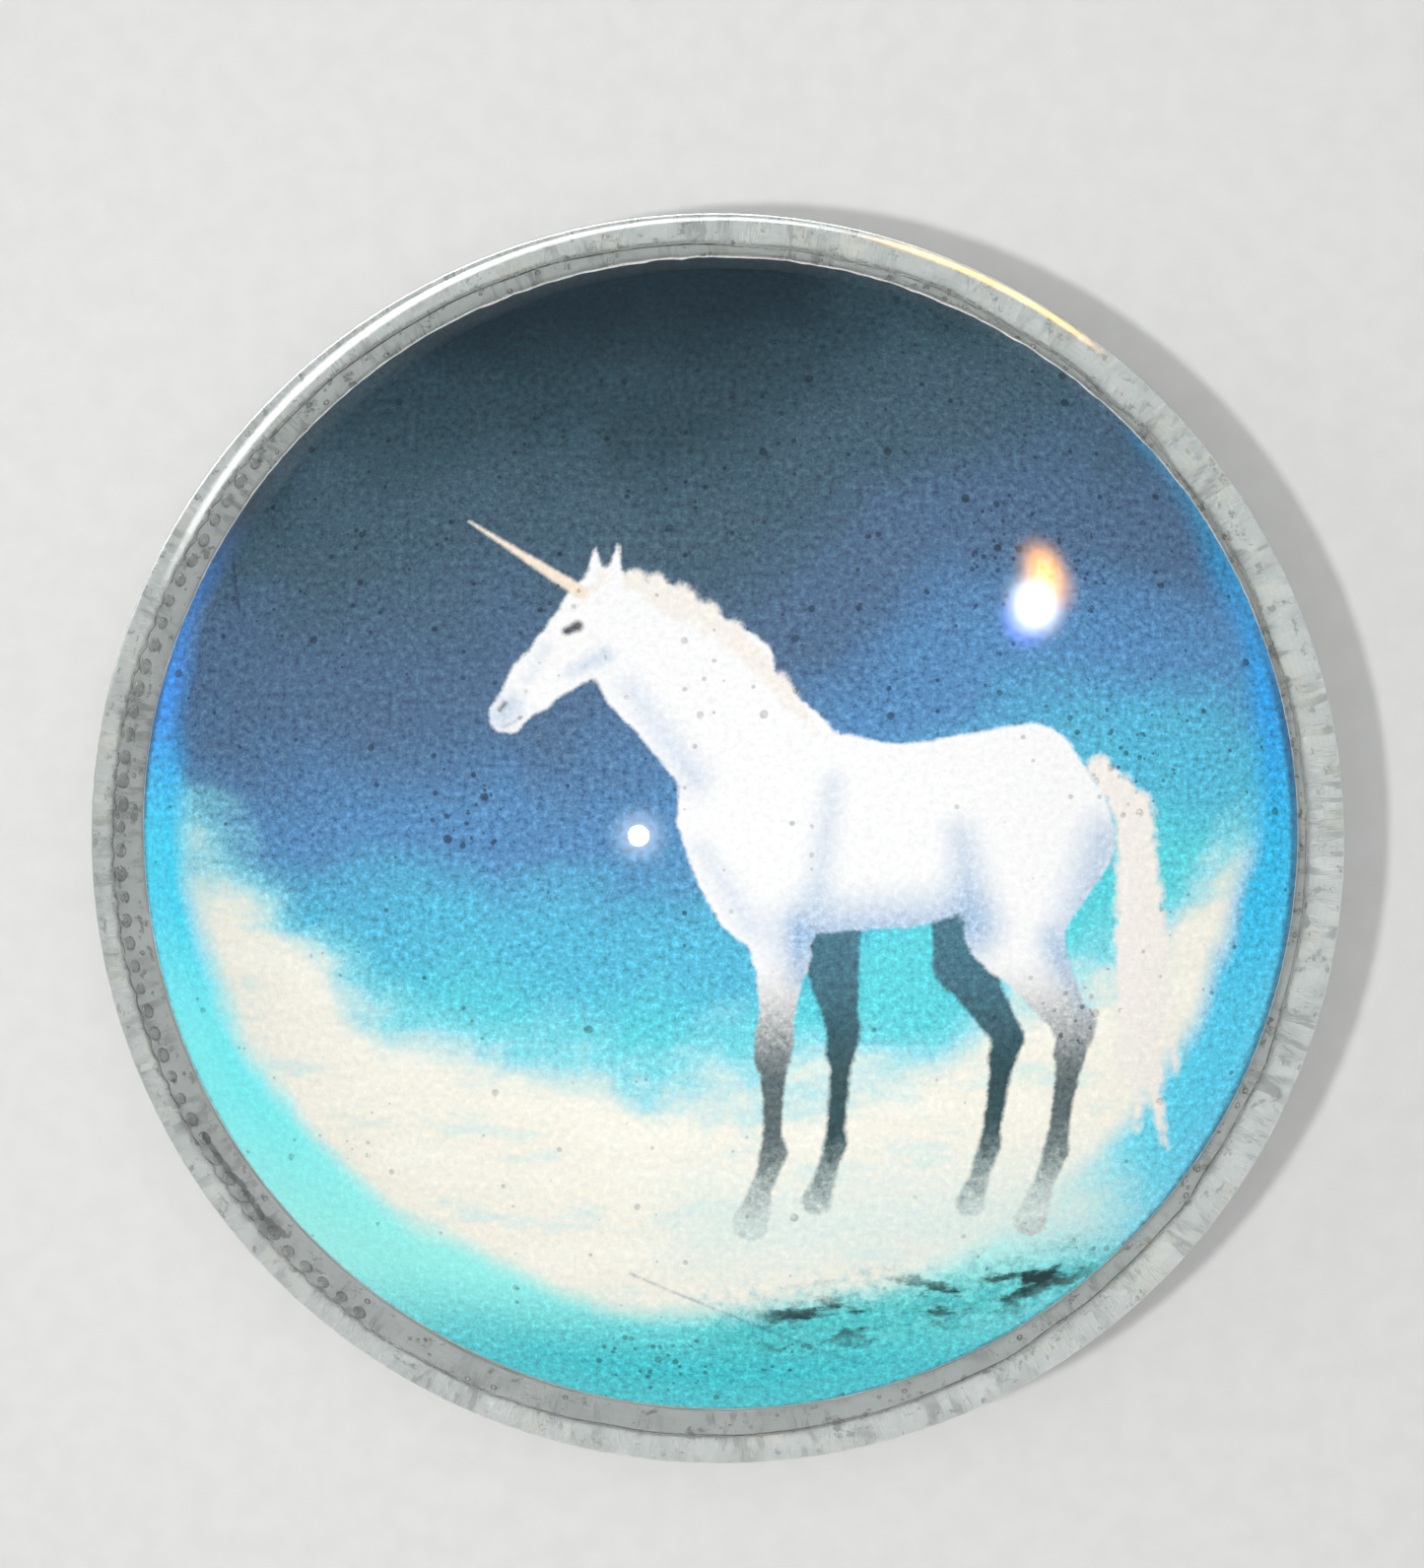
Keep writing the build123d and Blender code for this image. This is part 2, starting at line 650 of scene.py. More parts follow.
    def shading(self) -> tuple[Glaze, ...]:
        """Soft shadow laid over the white: belly, flank, throat, thigh and face.

        Returns:
            One glaze for each soft shadow.
        """
        patches = (
            (Stroke((3.6, -3.0), (9.4, -2.5), 0.7, 0.6), 1.9, 0.9),
            (Stroke((9.6, 1.0), (10.2, -2.6), 0.2, 0.7), 1.2, 0.6),
            (Stroke((15.4, 0.8), (14.0, -3.6), 0.4, 0.5), 1.6, 0.75),
            (Stroke((-3.4, 6.8), (-0.8, 3.2), 0.1, 0.4), 1.1, 0.4),
            (Stroke((4.6, 3.0), (3.9, -1.6), 0.1, 0.3), 1.0, 0.45),
            (Stroke((-0.5, 0.4), (1.4, -2.6), 0.1, 0.3), 1.0, 0.35),
            (Stroke((3.3, -2.6), (3.3, -4.6), 0.2, 0.2), 0.8, 0.7),
            (Stroke((13.2, -3.0), (14.6, -5.8), 0.2, 0.2), 0.8, 0.6),
            (Stroke((-8.4, 5.5), (-8.0, 6.0), 0.3, 0.3), 0.8, 0.55),
            (Stroke((-5.7, 7.3), (-4.3, 8.0), 0.05, 0.2), 0.5, 0.55),
            (Stroke((-6.6, 8.3), (-7.4, 7.0), 0.05, 0.05), 0.4, 0.35),
        )
        return tuple(
            Glaze((stroke,), self.shade, edge=edge, strength=strength) for stroke, edge, strength in patches
        )

    def details(self) -> tuple[Glaze, ...]:
        """Eye, nostril and mouth.

        Returns:
            One glaze for each detail.
        """
        eye = Stroke((-5.85, 8.95), (-5.40, 9.15), 0.15, 0.20)
        nostril = Stroke((-8.45, 5.85), (-8.25, 6.10), 0.07, 0.10)
        mouth = Stroke((-8.35, 5.15), (-7.6, 5.55), 0.02, 0.02)
        return tuple(
            Glaze((stroke,), paint(44, 42, 58), edge=0.13, fuzz=0.04, strength=strength)
            for stroke, strength in ((eye, 0.92), (nostril, 0.75), (mouth, 0.4))
        )


class Layer(Enum):
    """What the paper's mesh stores about the drawing."""

    BODY = "body"
    FAR_LEGS = "far legs"
    TAIL = "tail"
    MANE = "mane"
    SHADING = "shading"


@dataclass(frozen=True)
class PrintedPicture:
    """Glossy print of a night sky over a bank of cloud, with a horned horse."""

    name: str = "Printed picture"
    horse: HornedHorse = HornedHorse()
    magnifying: float = 0.875       # print millimetres for one seen through the lens
    lowered: float = 0.8            # the horse, below where its own measures put it
    sky_centre: Spot = (0.0, 22.0)
    sky_radius: float = 30.0
    cloud_centre: Spot = (0.0, 3.0)
    cloud_radius: float = 22.3
    cut_radius: float = 23.9        # where the glue's shadow darkens the cut
    bubble_patches: tuple[tuple[float, float, float], ...] = (
        (-9.8, 1.1, 1.6), (-1.5, 18.6, 1.4), (16.6, 2.7, 1.9), (14.4, -6.6, 1.5), (-2.7, -21.2, 2.6),
        (3.5, -21.6, 1.4), (12.5, 11.0, 3.0), (-14.0, -12.0, 1.2),
    )
    mist: Stroke = Stroke((0.0, -15.5), (14.5, -15.0), 1.6, 1.6)
    water: Stroke = Stroke((0.5, -20.2), (15.5, -17.9), 0.8, 0.8)
    rocks: Stroke = Stroke((3.0, -19.7), (14.0, -17.9), 1.1, 1.1)
    hair: Stroke = Stroke((-20.0, 11.6), (-19.5, 9.2), 0.06, 0.03)
    crease: Stroke = Stroke((-3.4, -17.4), (6.0, -21.6), 0.02, 0.05)

    def draw(self, piece: bpy.types.Object) -> None:
        """Lays the horse out on the paper: stores each layer's distance, or its cover, on the mesh.

        Args:
            piece: The paper, with its mesh in place.
        """
        points = np.zeros(len(piece.data.vertices) * 3, np.float32)
        piece.data.vertices.foreach_get("co", points)
        seen = points.reshape(-1, 3)[:, :2] / MM / self.magnifying + (0.0, self.lowered)
        bare = np.ones(len(seen))
        for glaze in self.horse.shading():
            bare *= 1 - glaze.cover(seen)
        layers = {
            Layer.BODY: self.horse.body().distance(seen),
            Layer.FAR_LEGS: self.horse.far_legs().distance(seen),
            Layer.TAIL: self.horse.tail().distance(seen),
            Layer.MANE: self.horse.mane().distance(seen),
            Layer.SHADING: 1 - bare,
        }
        for layer, values in layers.items():
            stored = piece.data.attributes.new(layer.value, "FLOAT", "POINT")
            stored.data.foreach_set("value", values.astype(np.float32))

    def material(self, fx: Effects) -> bpy.types.Material:
        """Builds the print's material.

        Args:
            fx: The shared node groups.

        Returns:
            The finished material.
        """
        material, w, shader = plastic(self.name, roughness=0.42)
        shader.inputs["Specular IOR Level"].default_value = 0.1     # the glue leaves it no shine of its own
        at = w.millimetres()
        seen = w.vector("MULTIPLY", at, (1 / self.magnifying, 1 / self.magnifying, 0.0))
        fuzz = w.math("SUBTRACT", w.noise(seen, 1.6, 3.0, 0.65), 0.5)
        horse = self.horse
        colour = self._backdrop(w, seen)
        drawn = w.vector("ADD", seen, (0.0, self.lowered, 0.0))
        dusk = w.fade(w.split(drawn)[1], horse.fetlock, horse.knee, 0.92, 0.0)
        far = self._masked(w, w.stored(Layer.FAR_LEGS), fuzz, horse.far_legs())
        colour = w.mix(far, colour, w.mix(dusk, horse.far, horse.dusk))
        tail = self._masked(w, w.stored(Layer.TAIL), fuzz, horse.tail())
        colour = w.mix(tail, colour, horse.cream)
        coat = w.mix(w.stored(Layer.SHADING), horse.white, horse.shade)
        body = self._masked(w, w.stored(Layer.BODY), fuzz, horse.body())
        colour = w.mix(body, colour, w.mix(dusk, coat, horse.dusk))
        mane = self._masked(w, w.stored(Layer.MANE), fuzz, horse.mane())
        colour = w.mix(mane, colour, horse.cream)
        for glaze in (horse.horn(), *horse.details()):
            colour = self._lay(w, fx, drawn, fuzz, colour, glaze)
        colour = self._mist(w, fx, seen, fuzz, colour)
        colour = self._blemishes(w, fx, seen, fuzz, colour)
        w.feed(shader.inputs["Base Color"], colour)
        ripple = w.noise(at, 0.7, 2.0, 0.5)
        w.feed(shader.inputs["Roughness"], w.fade(ripple, 0.3, 0.7, 0.34, 0.5))
        return material

    def _masked(self, w: Wiring, distance: Socket, fuzz: Socket, glaze: Glaze) -> Socket:
        """How much a glaze covers each point, from the distance to its strokes.

        Args:
            w: The material's wiring.
            distance: How far the point lies outside the strokes.
            fuzz: Noise about 0 that roughens edges.
            glaze: The layer of paint.

        Returns:
            The cover, 0 to 1.
        """
        ragged = w.math("MULTIPLY_ADD", fuzz, glaze.fuzz * 2, distance)
        return w.fade(ragged, -glaze.edge, glaze.edge, glaze.strength, 0.0)

    def _cover(self, w: Wiring, fx: Effects, seen: Socket, fuzz: Socket, glaze: Glaze) -> Socket:
        """How much a glaze of few, fine strokes covers each point.

        Args:
            w: The material's wiring.
            fx: The shared node groups.
            seen: The point, in millimetres as seen.
            fuzz: Noise about 0 that roughens edges.
            glaze: The layer of paint.

        Returns:
            The cover, 0 to 1.
        """
        nearest: Socket | None = None
        for stroke in glaze.strokes:
            along = (stroke.end[0] - stroke.start[0], stroke.end[1] - stroke.start[1], 0.0)
            placed = w.place(
                fx.stroke, Point=seen, Start=(*stroke.start, 0.0), Along=along,
                Start_Width=stroke.start_width, End_Width=stroke.end_width,
            )
            away = placed.outputs["Distance"]
            nearest = away if nearest is None else w.math("SMOOTH_MIN", nearest, away, glaze.melt)
        return self._masked(w, nearest, fuzz, glaze)

    def _lay(
        self, w: Wiring, fx: Effects, seen: Socket, fuzz: Socket, colour: Socket, glaze: Glaze
    ) -> Socket:
        """The colour so far with a glaze laid over it.

        Args:
            w: The material's wiring.
            fx: The shared node groups.
            seen: The point, in millimetres as seen.
            fuzz: Noise about 0 that roughens edges.
            colour: The colour so far.
            glaze: The layer of paint.

        Returns:
            The new colour.
        """
        return w.mix(self._cover(w, fx, seen, fuzz, glaze), colour, glaze.colour)

    def _backdrop(self, w: Wiring, seen: Socket) -> Socket:
        """Sky, cloud bank and the bright blue margin round them, with a painted shadow of the glue along the
        cut edge.

        Args:
            w: The material's wiring.
            seen: The point, in millimetres as seen.

        Returns:
            The backdrop's colour.
        """
        across, height, _ = w.split(seen)
        billow = w.math("SUBTRACT", w.noise(seen, 0.13, 5.0, 0.58, 0.5), 0.5)
        wisps = w.math("SUBTRACT", w.noise(w.vector("MULTIPLY", seen, (0.35, 1.0, 1.0)), 0.5, 4.0, 0.6), 0.5)
        tilted = w.math("SUBTRACT", height, w.fade(across, -2.0, 14.0, 0.0, 7.2))
        lifted = w.math("MULTIPLY_ADD", billow, 9.0, tilted)
        sky = w.ramp(
            w.math("DIVIDE", w.math("ADD", lifted, 9.0), 31.0, clamp=True),
            (
                (0.0, paint(92, 214, 224)), (0.14, paint(84, 186, 216)), (0.3, paint(84, 138, 186)),
                (0.48, paint(76, 106, 138)), (0.68, paint(62, 90, 106)), (0.86, paint(34, 62, 74)),
                (1.0, paint(10, 38, 50)),
            ),
        )
        in_sky = w.math("SUBTRACT", w.vector("DISTANCE", seen, (*self.sky_centre, 0.0)), self.sky_radius)
        ragged = w.math("MULTIPLY_ADD", billow, 9.0, w.math("MULTIPLY_ADD", wisps, 3.0, in_sky))
        cloud = w.ramp(
            w.fade(wisps, -0.25, 0.25),
            ((0.0, paint(228, 244, 236)), (0.4, paint(252, 248, 234)), (1.0, paint(255, 252, 240))),
        )
        tinted = w.mix(w.fade(ragged, 0.2, 3.2), paint(140, 224, 236), cloud)
        colour = w.mix(w.fade(ragged, -1.2, 1.6), sky, tinted)
        from_cloud = w.vector("DISTANCE", seen, (*self.cloud_centre, 0.0))
        past_cloud = w.math("SUBTRACT", from_cloud, self.cloud_radius)
        margin = w.ramp(
            w.math("DIVIDE", w.math("ADD", height, 22.0), 36.0, clamp=True),
            (
                (0.0, paint(66, 200, 210)), (0.14, paint(160, 252, 244)), (0.36, paint(128, 252, 255)),
                (0.58, paint(66, 222, 255)), (0.78, paint(56, 150, 240)), (1.0, paint(20, 48, 68)),
            ),
        )
        margin = w.mix(w.fade(across, 10.0, 21.0, 0.0, 0.6), margin, paint(36, 168, 226))
        colour = w.mix(w.fade(w.math("MULTIPLY_ADD", billow, 2.5, past_cloud), -1.0, 0.6), colour, margin)
        # Painted shadow: a dark blue band just inside the cut edge, left off towards the top, stands in for
        # the glue's shadow on the print.
        cut = w.fade(w.vector("LENGTH", seen), self.cut_radius - 0.3, self.cut_radius, 0.0, 0.75)
        shaded = w.math("MULTIPLY", cut, w.fade(height, 4.0, 12.0, 1.0, 0.0))
        return w.mix(shaded, colour, paint(20, 70, 110))

    def _mist(self, w: Wiring, fx: Effects, seen: Socket, fuzz: Socket, colour: Socket) -> Socket:
        """Mist over the hooves, and wet rocks below them.

        Args:
            w: The material's wiring.
            fx: The shared node groups.
            seen: The point, in millimetres as seen.
            fuzz: Noise about 0 that roughens edges.
            colour: The colour so far.

        Returns:
            The colour with mist and rocks laid over it.
        """
        for glaze in (
            Glaze((self.mist,), paint(228, 242, 236), edge=2.5, fuzz=1.6, strength=0.92),
            Glaze((self.water,), paint(64, 192, 196), edge=1.5, fuzz=2.4, strength=0.9),
        ):
            colour = self._lay(w, fx, seen, fuzz, colour, glaze)
        where = Glaze((self.rocks,), paint(10, 52, 54), edge=1.0, fuzz=0.6)
        lumps = w.fade(w.noise(w.vector("MULTIPLY", seen, (0.5, 1.3, 1.0)), 0.7, 4.0, 0.6), 0.50, 0.60)
        return w.mix(w.math("MULTIPLY", self._cover(w, fx, seen, fuzz, where), lumps), colour, where.colour)

    def _blemishes(self, w: Wiring, fx: Effects, seen: Socket, fuzz: Socket, colour: Socket) -> Socket:
        """Ink grain, bubbles held under the glue, a hair and a crease.

        Args:
            w: The material's wiring.
            fx: The shared node groups.
            seen: The point, in millimetres as seen.
            fuzz: Noise about 0 that roughens edges.
            colour: The colour so far.

        Returns:
            The colour with the blemishes on it.
        """
        crowding: object = w.fade(w.split(seen)[1], 2.0, 8.0, 0.03, 0.085)
        for x, y, radius in self.bubble_patches:
            near = w.vector("DISTANCE", seen, (x, y, 0.0))
            patch = w.fade(w.math("MULTIPLY_ADD", fuzz, 3.0, near), radius * 0.5, radius * 1.2, 0.7, 0.0)
            crowding = w.math("MAXIMUM", crowding, patch)
        held = w.place(fx.bubbles, Point=seen, Spacing=0.62, Crowding=crowding)
        elsewhere = w.vector("ADD", seen, (3.1, 7.7, 0.0))
        tiny = w.place(fx.bubbles, Point=elsewhere, Spacing=0.38, Crowding=crowding)
        dark = w.math("MAXIMUM", held.outputs["Bubbles"], tiny.outputs["Bubbles"])
        dark = w.math("MULTIPLY", dark, self._by_lightness(w, colour, 0.7, 0.3))
        colour = w.mix(dark, colour, paint(8, 34, 48))
        inks = ((self.hair, paint(30, 44, 84), 0.8), (self.crease, paint(40, 110, 130), 0.5))
        for stroke, ink, strength in inks:
            thin = Glaze((stroke,), ink, edge=0.1, fuzz=0.1, strength=strength)
            colour = self._lay(w, fx, seen, fuzz, colour, thin)
        grain = w.ramp(w.noise(seen, 3.6, 3.0, 0.8), (
            (0.33, (0.46, 0.52, 0.58, 1.0)), (0.5, (1.0, 1.0, 1.0, 1.0)), (0.67, (1.66, 1.58, 1.46, 1.0)),
        ))
        return w.mix(self._by_lightness(w, colour, 1.0, 0.14), colour, grain, how="MULTIPLY")

    def _by_lightness(self, w: Wiring, colour: Socket, on_dark: float, on_light: float) -> Socket:
        """A share that differs between dark and pale paint.

        Args:
            w: The material's wiring.
            colour: The paint.
            on_dark: The share on dark paint.
            on_light: The share on pale paint.

        Returns:
            The share.
        """
        lightness = w.node("ShaderNodeRGBToBW")
        w.feed(lightness.inputs[0], colour)
        return w.fade(lightness.outputs[0], 0.3, 0.9, on_dark, on_light)


# ---------------------------------------------------------------------------
# Finishes
# ---------------------------------------------------------------------------


def plastic(
    name: str, roughness: float, clear: float = 0.0
) -> tuple[bpy.types.Material, Wiring, bpy.types.Node]:
    """A new material with one Principled shader.

    Args:
        name: The material's name.
        roughness: Plain roughness, until something is joined to it.
        clear: Transmission, 0 for solid to 1 for clear.

    Returns:
        The material, its wiring and its shader.
    """
    material = bpy.data.materials.new(name)
    material.use_nodes = True
    wiring = Wiring(material.node_tree)
    shader = next(n for n in material.node_tree.nodes if n.type == "BSDF_PRINCIPLED")
    shader.inputs["IOR"].default_value = ACRYLIC_IOR
    shader.inputs["Roughness"].default_value = roughness
    shader.inputs["Transmission Weight"].default_value = clear
    return material, wiring, shader


def bumpy(w: Wiring, shader: bpy.types.Node, height: Socket, depth: float, strength: float = 1.0) -> None:
    """Gives a shader a bump.

    Args:
        w: The material's wiring.
        shader: The Principled node.
        height: Height, 0 to 1.
        depth: What a height of 1 stands for, in metres.
        strength: How much of the bump is used.
    """
    bump = w.node("ShaderNodeBump")
    bump.inputs["Strength"].default_value = strength
    bump.inputs["Distance"].default_value = depth
    w.feed(bump.inputs["Height"], height)
    w.feed(shader.inputs["Normal"], bump.outputs[0])


@dataclass(frozen=True)
class PolishedAcrylic:
    """Clear polished acrylic with light handling marks."""

    name: str = "Polished acrylic"
    tint: Colour = (0.995, 0.998, 0.998, 1.0)
    dust: Colour = (0.72, 0.72, 0.70, 1.0)

    def material(self, fx: Effects) -> bpy.types.Material:
        """Builds the material from the shared handling marks.

        Args:
            fx: The shared node groups.

        Returns:
            The finished material.
        """
        material, w, shader = plastic(self.name, 0.0, clear=1.0)
        marks = w.place(fx.marks, Point=w.millimetres(), Scratch_Amount=0.6, Dust_Amount=0.8)
        w.feed(shader.inputs["Base Color"], w.mix(marks.outputs["Dust"], self.tint, self.dust))
        smooth = w.fade(marks.outputs["Smears"], 0.0, 1.0, 0.0, 0.02)
        w.feed(shader.inputs["Roughness"], w.math("MULTIPLY_ADD", marks.outputs["Scratches"], 0.12, smooth))
        return material


@dataclass(frozen=True)
class GroundAcrylic:
    """Clear acrylic with a ground, unpolished face."""

    name: str = "Ground acrylic"
    clearest: Colour = (0.97, 0.98, 0.98, 1.0)
    milkiest: Colour = (0.90, 0.93, 0.92, 1.0)
    ticks: float = 110.0
    smoothest: float = 0.22
    roughest: float = 0.5

    def material(self, fx: Effects) -> bpy.types.Material:
        """Builds the material from the shared ground-plastic effect.

        Args:
            fx: The shared node groups.

        Returns:
            The finished material.
        """
        material, w, shader = plastic(self.name, 0.4, clear=1.0)
        face = w.place(fx.ground, Point=w.millimetres(), Ticks=self.ticks)
        w.feed(shader.inputs["Base Color"], w.mix(face.outputs["Milk"], self.clearest, self.milkiest))
        mixed = w.math("MULTIPLY", w.math("ADD", face.outputs["Tick Marks"], face.outputs["Milk"]), 0.5)
        w.feed(shader.inputs["Roughness"], w.fade(mixed, 0.0, 1.0, self.smoothest, self.roughest))
        bumpy(w, shader, w.math("ADD", face.outputs["Grit"], face.outputs["Tick Marks"]), 0.01 * MM, 0.15)
        return material


@dataclass(frozen=True)
class LensUnderside:
    """The lens's flat face: ground, but clear wherever glue has wetted it."""

    name: str = "Lens underside"
    clearest: Colour = (0.99, 0.995, 0.995, 1.0)
    milkiest: Colour = (0.74, 0.78, 0.77, 1.0)
    warmest: Colour = (0.98, 0.95, 0.88, 1.0)
    smudge: Colour = (0.16, 0.18, 0.18, 1.0)
    crack: Colour = (0.05, 0.06, 0.08, 1.0)
    ticks: float = 64.0
    crack_path: tuple[Spot, ...] = (
        (-18.9, -11.1), (-18.0, -12.4), (-17.5, -12.8), (-16.8, -14.0), (-15.9, -14.7),
    )
    crack_width: float = 0.11

    def material(self, fx: Effects, glue: "GlueBed") -> bpy.types.Material:
        """Builds the material.

        Args:
            fx: The shared node groups.
            glue: The glue, whose edge divides the wet face from the dry.

        Returns:
            The finished material.
        """
        material, w, shader = plastic(self.name, 0.3, clear=1.0)
        at = w.millimetres()
        x, y, _ = w.split(at)
        face = w.place(fx.ground, Point=at, Ticks=self.ticks)
        radius = w.vector("LENGTH", w.flat(at))
        mean = (glue.widest + glue.narrowest) / 2 / MM
        swing = (glue.widest - glue.narrowest) / 2 / MM
        across = w.math("MULTIPLY", x, math.cos(glue.widest_at))
        leaning = w.math("MULTIPLY_ADD", y, math.sin(glue.widest_at), across)
        edge = w.math("MULTIPLY_ADD", w.math("DIVIDE", leaning, radius), swing, mean)
        dry = w.fade(w.math("SUBTRACT", radius, edge), -0.05, 0.1)
        ring = w.fade(radius, glue.inner_radius / MM, glue.inner_radius / MM + 0.3)
        colour = w.mix(w.math("MULTIPLY", face.outputs["Milk"], dry), self.clearest, self.milkiest)
        blocks = w.fade(w.noise(at, 0.8, 2.0, 0.6), 0.52, 0.66)
        colour = w.mix(w.math("MULTIPLY", blocks, dry), colour, self.warmest)
        streaks = w.math("MULTIPLY", face.outputs["Tick Marks"], w.fade(w.noise(at, 0.5, 2.0), 0.4, 0.62))
        specks = w.fade(w.noise(at, 1.7, 3.0, 0.7), 0.57, 0.66)
        marks = w.math("MAXIMUM", w.math("MULTIPLY", streaks, 0.6), w.math("MULTIPLY", specks, 0.8))
        colour = w.mix(w.math("MULTIPLY", marks, ring), colour, self.smudge)
        colour = w.mix(self._cracked(w, fx, at), colour, self.crack)
        w.feed(shader.inputs["Base Color"], colour)
        rough = w.fade(face.outputs["Tick Marks"], 0.0, 1.0, 0.24, 0.55)
        w.feed(shader.inputs["Roughness"], w.math("MULTIPLY", dry, rough))
        bumpy(w, shader, w.math("MULTIPLY", dry, face.outputs["Tick Marks"]), 0.02 * MM, 0.6)
        return material

    def _cracked(self, w: Wiring, fx: Effects, at: Socket) -> Socket:
        """How much of the jagged crack lies on each point, 0 to 1.

        Args:
            w: The material's wiring.
            fx: The shared node groups.
            at: The point, in millimetres.

        Returns:
            The cover, 0 to 1.
        """
        nearest: Socket | None = None
        for start, end in zip(self.crack_path, self.crack_path[1:]):
            placed = w.place(
                fx.stroke, Point=w.flat(at), Start=(*start, 0.0),
                Along=(end[0] - start[0], end[1] - start[1], 0.0),
                Start_Width=self.crack_width, End_Width=self.crack_width,
            )
            away = placed.outputs["Distance"]
            nearest = away if nearest is None else w.math("MINIMUM", nearest, away)
        ragged = w.math("MULTIPLY_ADD", w.noise(at, 3.0, 3.0, 0.7), 0.35, nearest)
        return w.fade(ragged, 0.17, 0.28, 0.8, 0.0)


@dataclass(frozen=True)
class ClearGlue:
    """Clear glue, a little cloudy."""

    name: str = "Clear glue"
    clearest: Colour = (0.98, 0.99, 0.985, 1.0)
    cloudiest: Colour = (0.86, 0.89, 0.88, 1.0)

    def material(self, fx: Effects) -> bpy.types.Material:
        """Builds the material, with milky patches and a slightly rippled face.

        Args:
            fx: The shared node groups.

        Returns:
            The finished material.
        """
        material, w, shader = plastic(self.name, 0.05, clear=1.0)
        at = w.millimetres()
        face = w.place(fx.ground, Point=at, Ticks=14.0)
        w.feed(shader.inputs["Base Color"], w.mix(face.outputs["Milk"], self.clearest, self.cloudiest))
        w.feed(shader.inputs["Roughness"], w.fade(face.outputs["Tick Marks"], 0.0, 1.0, 0.02, 0.14))
        bumpy(w, shader, w.noise(at, 1.4, 3.0), 0.06 * MM, 0.6)
        return material


@dataclass(frozen=True)
class FrostedAcrylic:
    """Pale plastic sheet with frosted faces."""

    name: str = "Frosted acrylic"
    pale: Colour = paint(240, 243, 240)
    grey: Colour = paint(220, 226, 223)

    def material(self, fx: Effects) -> bpy.types.Material:
        """Builds the material: frost, faint tool rings and rubbed patches.

        Args:
            fx: The shared node groups.

        Returns:
            The finished material.
        """
        material, w, shader = plastic(self.name, 0.5, clear=0.22)
        at = w.millimetres()
        face = w.place(fx.ground, Point=at, Ticks=9.0)
        marks = w.place(fx.marks, Point=at, Scratch_Amount=1.0, Dust_Amount=1.0)
        colour = w.mix(face.outputs["Milk"], self.grey, self.pale)
        w.feed(shader.inputs["Base Color"], w.mix(marks.outputs["Dust"], colour, paint(120, 118, 112)))
        radius = w.vector("LENGTH", w.flat(at))
        rings = w.math("MULTIPLY_ADD", w.math("SINE", w.math("MULTIPLY", radius, 24.0)), 0.5, 0.5)
        smeared = w.math("MULTIPLY", marks.outputs["Smears"], 0.4)
        rubbed = w.math("MAXIMUM", marks.outputs["Scratches"], smeared)
        w.feed(shader.inputs["Roughness"], w.fade(rubbed, 0.0, 1.0, 0.55, 0.3))
        bumpy(w, shader, w.math("MULTIPLY_ADD", rings, 0.3, face.outputs["Grit"]), 0.012 * MM, 0.6)
        return material


@dataclass(frozen=True)
class PlainPaper:
    """White paper: the picture's cut edge and its back."""

    name: str = "White paper"
    white: Colour = paint(238, 237, 232)
    shade: Colour = paint(206, 203, 194)

    def material(self, fx: Effects) -> bpy.types.Material:
        """Builds the material from fibres and a little grime.

        Args:
            fx: The shared node groups; not used.

        Returns:
            The finished material.
        """
        material, w, shader = plastic(self.name, 0.85)
        at = w.millimetres()
        fibres = w.noise(w.vector("MULTIPLY", at, (3.0, 0.8, 6.0)), 2.4, 4.0, 0.7, 0.6)
        w.feed(shader.inputs["Base Color"], w.mix(w.fade(fibres, 0.35, 0.7), self.white, self.shade))
        w.feed(shader.inputs["Roughness"], w.fade(fibres, 0.3, 0.7, 0.75, 0.95))
        bumpy(w, shader, fibres, 0.03 * MM, 0.5)
        return material


@dataclass(frozen=True)
class AdhesiveFilm:
    """Pale double-sided film with air caught under it."""

    name: str = "Adhesive film"
    pale: Colour = paint(226, 224, 210)
    air: Colour = paint(190, 190, 180)

    def material(self, fx: Effects) -> bpy.types.Material:
        """Builds the material from the shared bubbles.

        Args:
            fx: The shared node groups.

        Returns:
            The finished material.
        """
        material, w, shader = plastic(self.name, 0.35, clear=0.25)
        at = w.millimetres()
        caught = w.place(fx.bubbles, Point=at, Spacing=1.3, Crowding=0.3)
        cloudy = w.mix(w.fade(w.noise(at, 0.5, 3.0), 0.3, 0.7, 0.0, 0.5), self.pale, self.air)
        w.feed(shader.inputs["Base Color"], w.mix(caught.outputs["Bubbles"], cloudy, self.air))
        w.feed(shader.inputs["Roughness"], w.fade(caught.outputs["Rims"], 0.0, 1.0, 0.4, 0.2))
        bumpy(w, shader, caught.outputs["Rims"], 0.03 * MM, 0.6)
        return material


# ---------------------------------------------------------------------------
# Meshes
# ---------------------------------------------------------------------------


@dataclass(frozen=True)
class Ring:
    """One ring of a turned mesh, in metres, and the finish of the band that follows it."""

    radius: float
    height: float
    finish: int = 0


def corner_rings(
    hub: float, height: float, radius: float, turns: Sequence[float], finish: int = 0
) -> list[Ring]:
    """Rings along a round corner of the profile.

    Args:
        hub: How far the corner's centre is from the axis.
        height: Height of the corner's centre.
        radius: The corner's radius.
        turns: Angles of the rings, from level upwards.
        finish: The finish of the bands.

    Returns:
        One ring for each angle.
    """
    return [Ring(hub + radius * math.cos(turn), height + radius * math.sin(turn), finish) for turn in turns]


